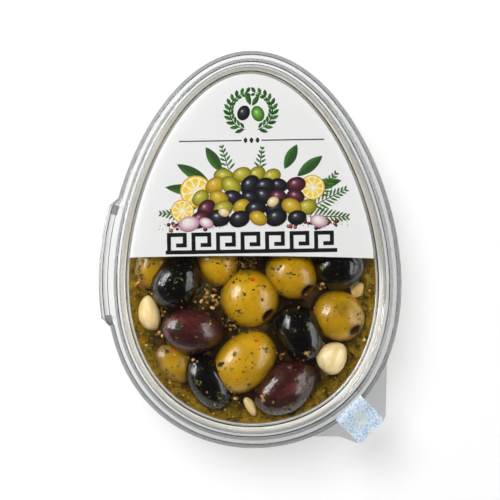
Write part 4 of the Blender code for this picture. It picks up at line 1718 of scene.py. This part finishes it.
def print_border(sheet):
    """The bold band at the foot: a plain key border, hooks that stand on a running line."""
    stroke = 1.6
    cell = 1.4
    foot = -0.7
    units = 7
    pitch = 7 * cell
    left = -units * pitch / 2 + cell / 2
    top = foot + 5 * cell
    hook = foot + 2 * cell
    sheet.rule(left - cell, left + units * pitch - cell, foot, stroke, BORDER_INK, 1)
    for unit in range(units):
        start = left + unit * pitch - stroke / 2
        inner = left + unit * pitch + 4.5 * cell - stroke / 2
        sheet.rule(start, start + stroke, (foot + top) / 2, top - foot + stroke, BORDER_INK, 2)
        sheet.rule(start, start + 5 * cell, top, stroke, BORDER_INK, 3)
        sheet.rule(inner, inner + stroke, (hook + top) / 2, top - hook + stroke, BORDER_INK, 4)
        sheet.rule(start + stroke / 2 + 2 * cell, inner + stroke, hook, stroke, BORDER_INK, 5)


def make_print():
    """The label's generic print, laid just over the film."""
    rng = random.Random(HEAP_SEED + 5)
    sheet = Print()
    print_wreath(sheet)
    for left, right in ((-29, -4), (4, 29)):
        sheet.rule(left, right, 43.6, 0.5, "#3A3A3A", 1)
    for x in (-2.4, 0.0, 2.4):
        sheet.leaf(x, 42.5, 2.3, 1.5, 90, "#2A2A2A", "#2A2A2A", 1)
    print_greens(sheet)
    print_heap(sheet, rng)
    print_border(sheet)
    return dress(link_mesh("label_print", sheet.bm), printing_ink(), "lid", ["label"])


def add_softbox(name, place, size, power):
    """A rectangular lamp that looks at the pack."""
    lamp = bpy.data.lights.new(name, "AREA")
    lamp.shape = "RECTANGLE"
    lamp.size, lamp.size_y = size
    lamp.energy = power
    obj = bpy.data.objects.new(name, lamp)
    obj.location = place
    aim = Vector((0, -0.01, 0.03)) - Vector(place)
    obj.rotation_euler = aim.to_track_quat("-Z", "Y").to_euler()
    bpy.context.scene.collection.objects.link(obj)
    return obj


def make_lights():
    """Two softboxes that only the glosses mirror, and a main light from above that no gloss mirrors."""
    for name, place, size, power in (
        ("key_softbox", (-0.72, 0.34, 0.38), (0.66, 0.46), 17.0),
        ("fill_softbox", (0.72, 0.02, 0.44), (1.1, 0.45), 9.0),
    ):
        softbox = add_softbox(name, place, size, power)
        softbox.visible_diffuse = False
    main_light = add_softbox("main_light", (-0.28, 0.4, 1.2), (0.6, 0.6), 17.5)
    main_light.visible_glossy = False
    main_light.visible_transmission = False
    world = bpy.data.worlds.new("Studio")
    world.use_nodes = True
    background = world.node_tree.nodes["Background"]
    background.inputs["Color"].default_value = linear("#E8EAEC")
    background.inputs["Strength"].default_value = 0.035
    bpy.context.scene.world = world


def make_camera():
    """Straight above, so that the picture's 500 pixels show its width at the rim."""
    data = bpy.data.cameras.new("camera")
    data.sensor_width = SENSOR_WIDTH
    data.lens = SENSOR_WIDTH * (CAMERA_HEIGHT - LID_RIM_TOP) / PICTURE_WIDTH
    camera = bpy.data.objects.new("camera", data)
    middle = PICTURE_PIXELS / 2
    camera.location = (*pixel_place(middle, middle), CAMERA_HEIGHT)
    camera.rotation_euler = (0, 0, -PACK_TURN)
    bpy.context.scene.collection.objects.link(camera)
    bpy.context.scene.camera = camera


def main():
    make_camera()
    make_lights()
    make_floor()
    make_tub(clear_pet("Clear PET tub, thermoformed", "#FBFCFC"))
    lid_plastic = clear_pet("Clear PET lid, thermoformed", "#FDFDFD")
    make_lid(lid_plastic)
    make_hinge_film(lid_plastic)
    make_label()
    make_print()
    make_seal()
    pieces, fruit = make_contents()
    oil = make_oil(pieces)
    bpy.context.view_layer.update()
    bare = [obj for kind, obj in fruit.items() if kind != "garlic"]
    make_scatter(surface_tree([*bare, oil]))
    bpy.context.scene.view_settings.view_transform = "Standard"
    bpy.context.scene.view_settings.look = "None"


main()
